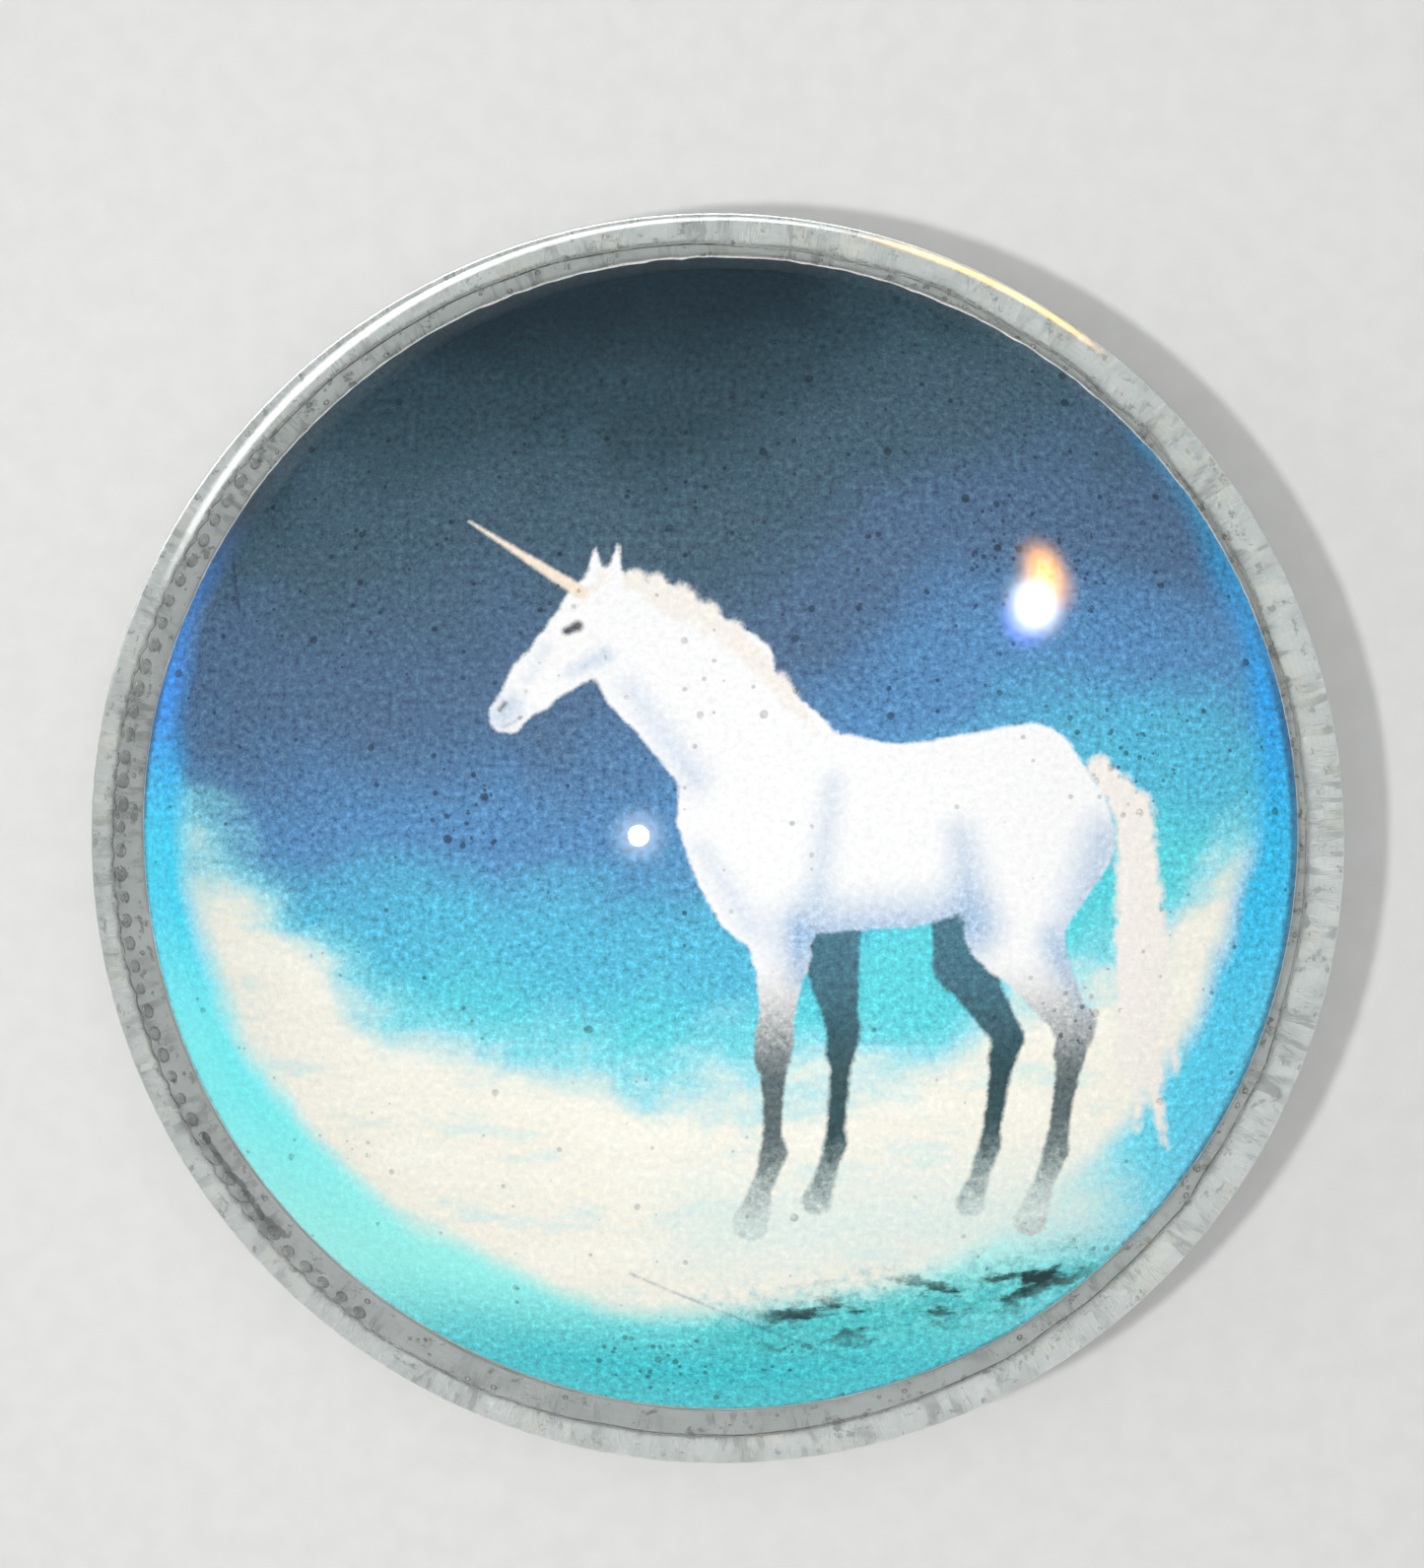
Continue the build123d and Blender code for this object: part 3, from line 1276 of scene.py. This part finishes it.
def turned(
    name: str,
    rings: Sequence[Ring],
    segments: int,
    finishes: Sequence[bpy.types.Material],
    reach: Callable[[float, float], float] | None = None,
    closed: bool = False,
    sharp: float = 30.0,
) -> bpy.types.Object:
    """A mesh turned round Z.

    Args:
        name: The piece's name.
        rings: Rings in order along the profile; radius 0 makes a single point.
        segments: Steps round the axis.
        finishes: The piece's materials.
        reach: Gives the real radius for an angle and a ring's radius, where the edge isn't round.
        closed: True if the last ring joins the first.
        sharp: Edges sharper than this many degrees stay crisp.

    Returns:
        The new object.
    """
    mesh = bmesh.new()
    rows: list[list[bmesh.types.BMVert]] = []
    for ring in rings:
        if ring.radius == 0:
            rows.append([mesh.verts.new((0.0, 0.0, ring.height))])
            continue
        row = []
        for step in range(segments):
            angle = TURN * step / segments
            radius = reach(angle, ring.radius) if reach else ring.radius
            row.append(mesh.verts.new((radius * math.cos(angle), radius * math.sin(angle), ring.height)))
        rows.append(row)
    pairs = list(zip(range(len(rows)), range(1, len(rows))))
    if closed:
        pairs.append((len(rows) - 1, 0))
    for here, there in pairs:
        low, high = rows[here], rows[there]
        for step in range(segments):
            after = (step + 1) % segments
            corners = [low[step % len(low)], low[after % len(low)]]
            corners += [high[after % len(high)], high[step % len(high)]]
            face = mesh.faces.new(list(dict.fromkeys(corners)))
            face.material_index = rings[here].finish
            face.smooth = True
    return settled(name, mesh, finishes, sharp)


def settled(
    name: str, mesh: bmesh.types.BMesh, finishes: Sequence[bpy.types.Material], sharp: float
) -> bpy.types.Object:
    """Turns a finished bmesh into an object in the scene, with its materials and crisp edges.

    Args:
        name: The piece's name.
        mesh: The finished mesh, which is freed.
        finishes: The piece's materials.
        sharp: Edges sharper than this many degrees stay crisp.

    Returns:
        The new object.
    """
    mesh.normal_update()
    data = bpy.data.meshes.new(name)
    mesh.to_mesh(data)
    mesh.free()
    for finish in finishes:
        data.materials.append(finish)
    data.set_sharp_from_angle(angle=math.radians(sharp))
    piece = bpy.data.objects.new(name, data)
    bpy.context.scene.collection.objects.link(piece)
    return piece


def wander(angle: float, scale: float, seed: float) -> float:
    """Smooth noise round a circle, about -1 to 1, the same at angle 0 and at a full turn."""
    return noise.noise(Vector((math.cos(angle) * scale, math.sin(angle) * scale, seed))) * NOISE_REACH


def turned_to(way: Vector) -> Euler:
    """How to turn a thing so that its +Z points this way and its +Y leans towards the frame's +Y.

    Args:
        way: Any vector that isn't along +Y.

    Returns:
        The turn.
    """
    front = way.normalized()
    right = Vector((0.0, 1.0, 0.0)).cross(front).normalized()
    return Matrix((right, front.cross(right), front)).transposed().to_euler()


def fitted(piece: bpy.types.Object, node: str) -> bpy.types.Object:
    """Puts a piece in the place of a CAD node, riding on the button's one body.

    Args:
        piece: The finished piece.
        node: The CAD node that it replaces.

    Returns:
        The same piece.
    """
    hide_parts(node)
    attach(piece, "root")
    log.info("%s: %d faces in place of %s", piece.name, len(piece.data.polygons), node)
    return piece


# ---------------------------------------------------------------------------
# The button
# ---------------------------------------------------------------------------


@dataclass
class DomeLens:
    """The clear lens: flat underneath, ground side wall, rounded shoulder, polished dome."""

    dome_radius: float = 34.0 * MM
    shoulder_round: float = 0.45 * MM
    bottom_bevel: float = 0.35 * MM
    segments: int = 288
    dome_rings: int = 72
    shoulder_rings: int = 8

    def __post_init__(self) -> None:
        """Reads the lens's place from the frame."""
        low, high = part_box("dome_lens")
        self.radius, self.bottom, self.top = high.x, low.z, high.z

    @property
    def dome_centre(self) -> float:
        """Height of the centre of the dome's sphere."""
        return self.top - self.dome_radius

    def rings(self) -> list[Ring]:
        """The profile, from the middle of the flat face out, up the wall and over the dome.

        Returns:
            The rings, in order.
        """
        polished, ground, underside = 0, 1, 2
        inner = self.radius - self.bottom_bevel
        rings = [Ring(0.0, self.bottom, underside)]
        rings += [Ring(inner * share, self.bottom, underside) for share in (0.3, 0.6, 0.8, 0.9)]
        rings.append(Ring(inner, self.bottom, ground))
        rings.append(Ring(self.radius, self.bottom + self.bottom_bevel, ground))
        hub = self.radius - self.shoulder_round
        rise = math.sqrt((self.dome_radius - self.shoulder_round) ** 2 - hub**2)
        meet = math.atan2(rise, hub)
        wall_top = self.dome_centre + rise
        tall = wall_top - self.bottom
        rings += [Ring(self.radius, self.bottom + tall * share, ground) for share in (0.2, 0.4, 0.6, 0.8)]
        turns = [meet * step / self.shoulder_rings for step in range(self.shoulder_rings)]
        rings += corner_rings(hub, wall_top, self.shoulder_round, turns, polished)
        turns = [meet + (TURN / 4 - meet) * step / self.dome_rings for step in range(self.dome_rings)]
        rings += corner_rings(0.0, self.dome_centre, self.dome_radius, turns, polished)
        rings.append(Ring(0.0, self.top))
        return rings

    def build(self, fx: Effects, glue: "GlueBed") -> bpy.types.Object:
        """Builds and dresses the lens.

        Args:
            fx: The shared node groups.
            glue: The glue, which clears the part of the flat face that it wets.

        Returns:
            The lens.
        """
        underside = LensUnderside().material(fx, glue)
        finishes = (PolishedAcrylic().material(fx), GroundAcrylic().material(fx), underside)
        piece = turned("clear_lens", self.rings(), self.segments, finishes, sharp=25.0)
        return fitted(piece, "dome_lens")


@dataclass
class GlueBed:
    """The clear glue round the picture, with a beaded edge on one side and bubbles in it."""

    clearance: float = 0.004 * MM
    inner_radius: float = 20.85 * MM
    widest: float = 22.45 * MM
    narrowest: float = 21.45 * MM
    widest_at: float = math.radians(205)
    bead_pitch: float = 0.88 * MM
    bead_depth: float = 0.13 * MM
    bead_dip: float = 0.4           # share of the depth that the notches cut inwards
    waver: float = 0.1 * MM
    beads_from: float = math.radians(140)
    beads_to: float = math.radians(235)
    meniscus: float = 0.1 * MM
    segments: int = 1440
    loose_bubbles: int = 90
    bubble_gap: float = 0.03 * MM
    bubble_height: float = 0.42     # half of the tallest bubble, as a share of the glue's thickness

    def __post_init__(self) -> None:
        """Reads the glue's place from the frame."""
        low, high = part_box("glue_bed")
        self.bottom, self.top = low.z + self.clearance, high.z - self.clearance

    def edge(self, angle: float) -> float:
        """The glue's outer radius at an angle.

        Args:
            angle: Round the axis, in radians.

        Returns:
            The radius there, in metres.
        """
        middle, swing = (self.widest + self.narrowest) / 2, (self.widest - self.narrowest) / 2
        radius = middle + swing * math.cos(angle - self.widest_at) + self.waver * wander(angle, 9.0, 3.0)
        if self.beads_from < angle < self.beads_to:
            along = angle * self.widest
            radius += self.bead_depth * (abs(math.sin(math.pi * along / self.bead_pitch)) - self.bead_dip)
        return radius

    def spread(self, angle: float, radius: float) -> float:
        """Moves the mesh's outer rings out to the glue's edge."""
        return radius if radius < self.inner_radius * 1.001 else self.edge(angle) - (self.widest - radius)

    def bubble_spots(self) -> list[tuple[float, float, float]]:
        """Angle, radius from the axis and size of each bubble: a row along the beads, the rest scattered.

        Returns:
            One entry for each bubble that might fit.
        """
        draw = random.Random(41)
        spots = []
        steps = int((self.beads_to - self.beads_from) * self.widest / self.bead_pitch)
        for step in range(steps):
            angle = self.beads_from + (step + 0.5) * self.bead_pitch / self.widest
            radius = self.edge(angle) - draw.uniform(0.42, 0.5) * MM
            spots.append((angle, radius, draw.uniform(0.22, 0.32) * MM))
        for _ in range(self.loose_bubbles):
            angle = draw.uniform(0.0, TURN)
            room = self.edge(angle) - 0.25 * MM
            radius = draw.uniform(self.inner_radius + 0.35 * MM, max(room, self.inner_radius + 0.4 * MM))
            size = draw.uniform(0.05, 0.13) * MM
            if radius + size < self.edge(angle) - 0.12 * MM:
                spots.append((angle, radius, size))
        return spots

    def add_bubbles(self, piece: bpy.types.Object) -> None:
        """Hollows the bubbles out of the glue, as flattened inner shells that face inwards.

        Args:
            piece: The glue, which gets the shells.
        """
        mesh = bmesh.new()
        mesh.from_mesh(piece.data)
        middle, tallest = (self.bottom + self.top) / 2, (self.top - self.bottom) * self.bubble_height
        kept: list[tuple[float, float, float]] = []
        for angle, radius, size in self.bubble_spots():
            x, y = radius * math.cos(angle), radius * math.sin(angle)
            if any(math.hypot(x - a, y - b) < size + c + self.bubble_gap for a, b, c in kept):
                continue
            kept.append((x, y, size))
            shell = bmesh.ops.create_icosphere(mesh, subdivisions=2, radius=1.0)["verts"]
            extent, centre = Vector((size, size, min(size, tallest))), Vector((x, y, middle))
            for vert in shell:
                vert.co = centre + vert.co * extent
            faces = {face for vert in shell for face in vert.link_faces}
            bmesh.ops.reverse_faces(mesh, faces=list(faces))
            for face in faces:
                face.smooth = True
        mesh.to_mesh(piece.data)
        mesh.free()
        log.info("glue holds %d bubbles", len(kept))

    def build(self, fx: Effects) -> bpy.types.Object:
        """Builds and dresses the glue.

        Args:
            fx: The shared node groups.

        Returns:
            The glue.
        """
        lip = self.widest - self.meniscus
        rings = [
            Ring(self.inner_radius, self.bottom), Ring(self.widest, self.bottom),
            Ring(lip, self.bottom * 0.7 + self.top * 0.3), Ring(lip, self.bottom * 0.3 + self.top * 0.7),
            Ring(self.widest, self.top), Ring(self.inner_radius, self.top),
        ]
        glue = ClearGlue().material(fx)
        piece = turned("glue_ring", rings, self.segments, [glue], self.spread, closed=True)
        self.add_bubbles(piece)
        return fitted(piece, "glue_bed")


@dataclass
class PictureDisc:
    """The printed paper, cut by hand and set down a little off centre."""

    off_centre: Spot = (0.10 * MM, 0.20 * MM)
    bite: float = 0.012 * MM        # how far the glued print reaches into the lens, so that no air shows
    bare_edge: float = 0.02 * MM    # white paper showing at the cut
    torn_edge: float = 0.11 * MM    # the same along the top, where it tore
    segments: int = 480
    print_rings: int = 80

    def __post_init__(self) -> None:
        """Reads the paper's place from the frame."""
        low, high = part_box("picture_disc")
        self.radius, self.bottom = high.x, low.z
        self.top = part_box("dome_lens")[0].z + self.bite

    def cut(self, angle: float, radius: float) -> float:
        """The radius as cut: a slow wander everywhere, and torn fibres along the top.

        Args:
            angle: Round the axis, in radians.
            radius: The ring's radius as designed.

        Returns:
            The radius as cut.
        """
        torn = max(0.0, math.sin(angle)) ** 2
        slow = 0.035 * MM * wander(angle, 3.0, 1.0)
        edge = self.radius + slow + (0.006 + 0.03 * torn) * MM * wander(angle, 40.0, 7.0)
        if radius >= self.radius:
            return edge
        ragged = 0.6 + 0.4 * wander(angle, 34.0, 11.0)
        printed = edge - self.bare_edge - self.torn_edge * torn * ragged
        return printed * radius / (self.radius - self.bare_edge)

    def build(self, fx: Effects) -> bpy.types.Object:
        """Builds and dresses the picture.

        Args:
            fx: The shared node groups.

        Returns:
            The picture.
        """
        printed, paper = 0, 1
        inner = self.radius - self.bare_edge
        rings = [
            Ring(0.0, self.bottom, paper), Ring(self.radius, self.bottom, paper),
            Ring(self.radius, self.top - self.bare_edge, paper),
        ]
        rings += [
            Ring(inner * (1 - step / self.print_rings), self.top, printed) for step in range(self.print_rings)
        ]
        rings.append(Ring(0.0, self.top))
        art = PrintedPicture()
        finishes = (art.material(fx), PlainPaper().material(fx))
        piece = turned("picture", rings, self.segments, finishes, self.cut)
        piece.data.transform(Matrix.Translation((*self.off_centre, 0.0)))
        art.draw(piece)
        return fitted(piece, "picture_disc")


@dataclass
class TapeFilm:
    """The adhesive film under the paper."""

    clearance: float = 0.004 * MM
    set_in: float = 0.15 * MM
    segments: int = 360

    def build(self, fx: Effects) -> bpy.types.Object:
        """Builds and dresses the film.

        Args:
            fx: The shared node groups.

        Returns:
            The film.
        """
        low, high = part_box("tape_film")
        radius = high.x - self.set_in
        bottom, top = low.z + self.clearance, high.z - self.clearance
        rings = [Ring(0.0, bottom), Ring(radius, bottom), Ring(radius, top), Ring(0.0, top)]

        def cut(angle: float, ring: float) -> float:
            """The film's hand-cut edge."""
            return ring + 0.06 * MM * wander(angle, 5.0, 5.0)

        piece = turned("adhesive_film", rings, self.segments, [AdhesiveFilm().material(fx)], cut)
        return fitted(piece, "tape_film")


@dataclass
class BackingDisc:
    """The frosted disc that closes the underside, with rounded rims."""

    rim_round: float = 0.3 * MM
    inner_share: float = 0.6        # where one more ring divides each flat face
    segments: int = 288
    rim_rings: int = 6

    def build(self, fx: Effects) -> bpy.types.Object:
        """Builds and dresses the backing.

        Args:
            fx: The shared node groups.

        Returns:
            The backing.
        """
        low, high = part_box("backing_disc")
        radius, bottom, top = high.x, low.z, high.z
        hub = radius - self.rim_round
        inner = hub * self.inner_share
        rings = [Ring(0.0, bottom), Ring(inner, bottom)]
        for centre, start in ((bottom + self.rim_round, -TURN / 4), (top - self.rim_round, 0.0)):
            turns = [start + TURN / 4 * step / self.rim_rings for step in range(self.rim_rings + 1)]
            rings += corner_rings(hub, centre, self.rim_round, turns)
        rings += [Ring(inner, top), Ring(0.0, top)]
        piece = turned("frosted_backing", rings, self.segments, [FrostedAcrylic().material(fx)])
        return fitted(piece, "backing_disc")


# ---------------------------------------------------------------------------
# The studio
# ---------------------------------------------------------------------------


class LampRole(Enum):
    """What a lamp is for, which decides what sees it."""

    FILL = "fill"           # lights everything, but isn't mirrored in the dome
    KEY = "key"             # small: casts the shadow and makes the round highlight


@dataclass(frozen=True)
class Lamp:
    """One round lamp, in metres, and how bright its face is beside white paper."""

    name: str
    place: Place
    aim: Place
    width: float
    brightness: float
    role: LampRole

    def hang(self) -> bpy.types.Object:
        """Makes the lamp and puts it up.

        Returns:
            The lamp.
        """
        data = bpy.data.lights.new(self.name, "AREA")
        data.shape = "DISK"
        data.size = self.width
        face = math.pi * (self.width / 2) ** 2
        data.energy = self.brightness * math.pi * face
        lamp = bpy.data.objects.new(self.name, data)
        bpy.context.scene.collection.objects.link(lamp)
        lamp.location = self.place
        lamp.rotation_euler = (Vector(self.aim) - Vector(self.place)).to_track_quat("-Z", "Y").to_euler()
        lamp.visible_camera = False
        lamp.visible_glossy = self.role is not LampRole.FILL
        lamp.visible_transmission = self.role is LampRole.FILL
        return lamp


@dataclass(frozen=True)
class Glow:
    """A soft patch of light on a card, placed and sized in half card widths."""

    centre: Spot
    radius: float
    brightness: float
    colour: tuple[float, float, float]

    def level(self, w: Wiring, at: Socket) -> Socket:
        """How bright the patch is at each point of the card, 0 to 1."""
        away = w.vector("DISTANCE", at, (*self.centre, 0.0))
        return w.math("POWER", w.fade(away, 0.0, self.radius, 1.0, 0.0), 2.0)


@dataclass(frozen=True)
class LightStrip:
    """A curved strip of light round a card's centre, sized in half card widths and degrees."""

    middle: float
    half_width: float
    towards: float
    spread: float
    brightness: float
    colour: tuple[float, float, float]

    def level(self, w: Wiring, at: Socket) -> Socket:
        """How bright the strip is at each point of the card, 0 to 1.

        Args:
            w: The card's wiring.
            at: The point on the card.

        Returns:
            The level there.
        """
        radius = w.vector("LENGTH", at)
        off = w.math("ABSOLUTE", w.math("SUBTRACT", radius, self.middle))
        turn = math.radians(self.towards)
        ahead = w.vector("DOT_PRODUCT", at, (math.cos(turn), math.sin(turn), 0.0))
        facing = w.fade(w.math("DIVIDE", ahead, radius), math.cos(math.radians(self.spread)), 1.0)
        return w.math("MULTIPLY", w.fade(off, 0.0, self.half_width, 1.0, 0.0), facing)


@dataclass(frozen=True)
class GlowCard:
    """A card with patches of light that fade at their edges, seen only as a reflection."""

    name: str
    glows: tuple[Glow | LightStrip, ...]

    def material(self) -> bpy.types.Material:
        """Builds the card's light.

        Returns:
            The finished material.
        """
        material = bpy.data.materials.new(self.name)
        material.use_nodes = True
        material.node_tree.nodes.clear()
        w = Wiring(material.node_tree)
        at = w.node("ShaderNodeTexCoord").outputs["Object"]
        total: object = (0.0, 0.0, 0.0)
        for glow in self.glows:
            bright = tuple(channel * glow.brightness for channel in glow.colour)
            total = w.vector("ADD", total, w.vector("SCALE", bright, scale=glow.level(w, at)))
        emission, clear = w.node("ShaderNodeEmission"), w.node("ShaderNodeBsdfTransparent")
        both = w.node("ShaderNodeAddShader")
        w.feed(emission.inputs["Color"], total)
        w.feed(both.inputs[0], emission.outputs[0])
        w.feed(both.inputs[1], clear.outputs[0])
        w.feed(w.node("ShaderNodeOutputMaterial").inputs["Surface"], both.outputs[0])
        material.cycles.emission_sampling = "NONE"
        return material

    def hang(self, place: Place, aim: Place, width: float) -> None:
        """Puts the card up.

        Args:
            place: The card's centre.
            aim: The point that it faces.
            width: Across the card, in metres.
        """
        mesh = bmesh.new()
        bmesh.ops.create_circle(mesh, cap_ends=True, segments=32, radius=1.0)
        card = settled(self.name, mesh, [self.material()], 30.0)
        card.location = place
        card.rotation_euler = turned_to(Vector(aim) - Vector(place))
        card.scale = (width / 2,) * 3
        for sight in ("camera", "diffuse", "transmission", "shadow", "volume_scatter"):
            setattr(card, f"visible_{sight}", False)


@dataclass
class Studio:
    """Pale floor, soft light and the camera over the button."""

    lens: DomeLens
    frame_height: float = 62.34 * MM        # what the camera takes in at the lens's rim
    aim: Spot = (0.04 * MM, 2.52 * MM)
    key_spot: Spot = (-2.89 * MM, 0.45 * MM)
    glint_spot: Spot = (12.9 * MM, 9.93 * MM)
    stand: Place = (5.0 * MM, 9.0 * MM, 105.0 * MM)    # camera over the rim's centre
    sensor: float = 36.0
    key_away: float = 0.115                 # from the dome to the key
    halo_away: float = 0.12                 # and to the two cards that show on the dome
    glint_away: float = 0.1
    room: float = 0.84                      # how bright the room is, and how bright its reflection is
    room_mirrored: float = 0.28

    @property
    def rim(self) -> float:
        """Height of the lens's rim, where the dome meets the wall."""
        return self.lens.dome_centre + math.sqrt(self.lens.dome_radius**2 - self.lens.radius**2)

    @property
    def eye(self) -> Vector:
        """Where the camera stands."""
        return Vector((self.stand[0], self.stand[1], self.rim + self.stand[2]))

    def camera(self) -> None:
        """Puts up the camera."""
        data = bpy.data.cameras.new("camera")
        target = Vector((*self.aim, self.rim))
        data.sensor_width = self.sensor
        data.lens = self.sensor * (self.eye - target).length / self.frame_height
        data.clip_start, data.clip_end = 0.005, 50.0
        camera = bpy.data.objects.new("camera", data)
        bpy.context.scene.collection.objects.link(camera)
        camera.location = self.eye
        camera.rotation_euler = turned_to(self.eye - target)
        bpy.context.scene.camera = camera

    def floor(self) -> None:
        """Lays the pale floor."""
        mesh = bmesh.new()
        bmesh.ops.create_grid(mesh, x_segments=8, y_segments=8, size=3.0)
        material, w, shader = plastic("Pale floor", 0.7)
        shader.inputs["Specular IOR Level"].default_value = 0.0
        speckle = w.fade(w.noise(w.millimetres(), 0.8, 3.0), 0.3, 0.7)
        w.feed(shader.inputs["Base Color"], w.mix(speckle, paint(168, 168, 166), paint(171, 171, 169)))
        floor = settled("floor", mesh, [material], 30.0)

    def mirrored(self, spot: Spot, distance: float) -> tuple[Place, Place]:
        """Where a lamp hangs for its reflection to show at a spot on the dome.

        Args:
            spot: The spot, in metres on the level of the rim, as the camera sees it.
            distance: From the dome to the lamp.

        Returns:
            The lamp's place, and the point on the dome that it faces.
        """
        centre = Vector((0.0, 0.0, self.lens.dome_centre))
        ray = (Vector((*spot, self.rim)) - self.eye).normalized()
        out = self.eye - centre
        half = out.dot(ray)
        reach = -half - math.sqrt(half * half - out.dot(out) + self.lens.dome_radius**2)
        touch = self.eye + ray * reach
        normal = (touch - centre).normalized()
        away = ray - normal * (2 * ray.dot(normal))
        return tuple(touch + away * distance), tuple(touch)

    def lamps(self) -> list[Lamp]:
        """The big soft lamps and the small key.

        Returns:
            The lamps, not yet hung.
        """
        over = (0.0, 0.0, self.rim)
        key, key_aim = self.mirrored(self.key_spot, self.key_away)
        return [
            Lamp("overhead", (0.05, 0.1, 0.75), over, 0.7, 3.0, LampRole.FILL),
            Lamp("left_fill", (-0.7, 0.1, 0.5), over, 0.5, 2.5, LampRole.FILL),
            Lamp("key", key, key_aim, 0.0062, 1400.0, LampRole.KEY),
        ]

    def cards(self) -> None:
        """Hangs the small glowing cards that show only as glints on the dome."""
        white, amber, violet = (1.0, 1.0, 1.0), (1.0, 0.44, 0.04), (0.22, 0.24, 1.0)
        halo = GlowCard("key_glow", (Glow((0.0, 0.0), 1.0, 11.0, white),))
        halo.hang(*self.mirrored(self.key_spot, self.halo_away), 0.03)
        glint = GlowCard("colour_glint", (
            Glow((0.08, -0.08), 0.50, 50.0, white),
            Glow((-0.16, 0.12), 0.52, 34.0, amber),
            Glow((-0.20, 0.34), 0.44, 24.0, amber),
            Glow((0.28, -0.22), 0.44, 30.0, violet),
        ))
        glint.hang(*self.mirrored(self.glint_spot, self.glint_away), 0.052)
        rim = GlowCard("rim_strips", (
            LightStrip(0.42, 0.10, 115.0, 60.0, 16.0, white),
            LightStrip(0.66, 0.06, 114.0, 52.0, 14.0, white),
            LightStrip(0.67, 0.10, 64.0, 14.0, 30.0, (1.0, 0.50, 0.07)),
        ))
        rim.hang((0.0, 0.0, 0.4 * MM), (0.0, 0.0, 1.0), 0.2)

    def world(self) -> None:
        """A pale room, brighter overhead than at the horizon."""
        world = bpy.data.worlds.new("room")
        world.use_nodes = True
        w = Wiring(world.node_tree)
        background = next(n for n in world.node_tree.nodes if n.type == "BACKGROUND")
        _, _, up = w.split(w.node("ShaderNodeTexCoord").outputs["Generated"])
        greys = ((0.0, paint(196, 197, 198)), (0.4, paint(214, 215, 216)), (1.0, paint(232, 233, 235)))
        w.feed(background.inputs["Color"], w.ramp(w.fade(up, -0.2, 1.0), greys))
        path = w.node("ShaderNodeLightPath").outputs
        through = w.math("SUBTRACT", 1.0, path["Is Transmission Ray"])
        mirror = w.math("MULTIPLY", path["Is Glossy Ray"], through)
        dimming = self.room_mirrored - self.room
        w.feed(background.inputs["Strength"], w.math("MULTIPLY_ADD", mirror, dimming, self.room))
        bpy.context.scene.world = world

    def build(self) -> None:
        """Sets up the whole studio."""
        self.floor()
        self.world()
        for lamp in self.lamps():
            lamp.hang()
        self.cards()
        self.camera()
        bpy.context.scene.view_settings.view_transform = "Standard"


def main() -> None:
    """Builds the button and the studio."""
    logging.basicConfig(level=logging.INFO, format="%(message)s")
    fx = Effects()
    glue = GlueBed()
    lens = DomeLens()
    lens.build(fx, glue)
    glue.build(fx)
    PictureDisc().build(fx)
    TapeFilm().build(fx)
    BackingDisc().build(fx)
    Studio(lens).build()


if __name__ == "__main__":
    main()
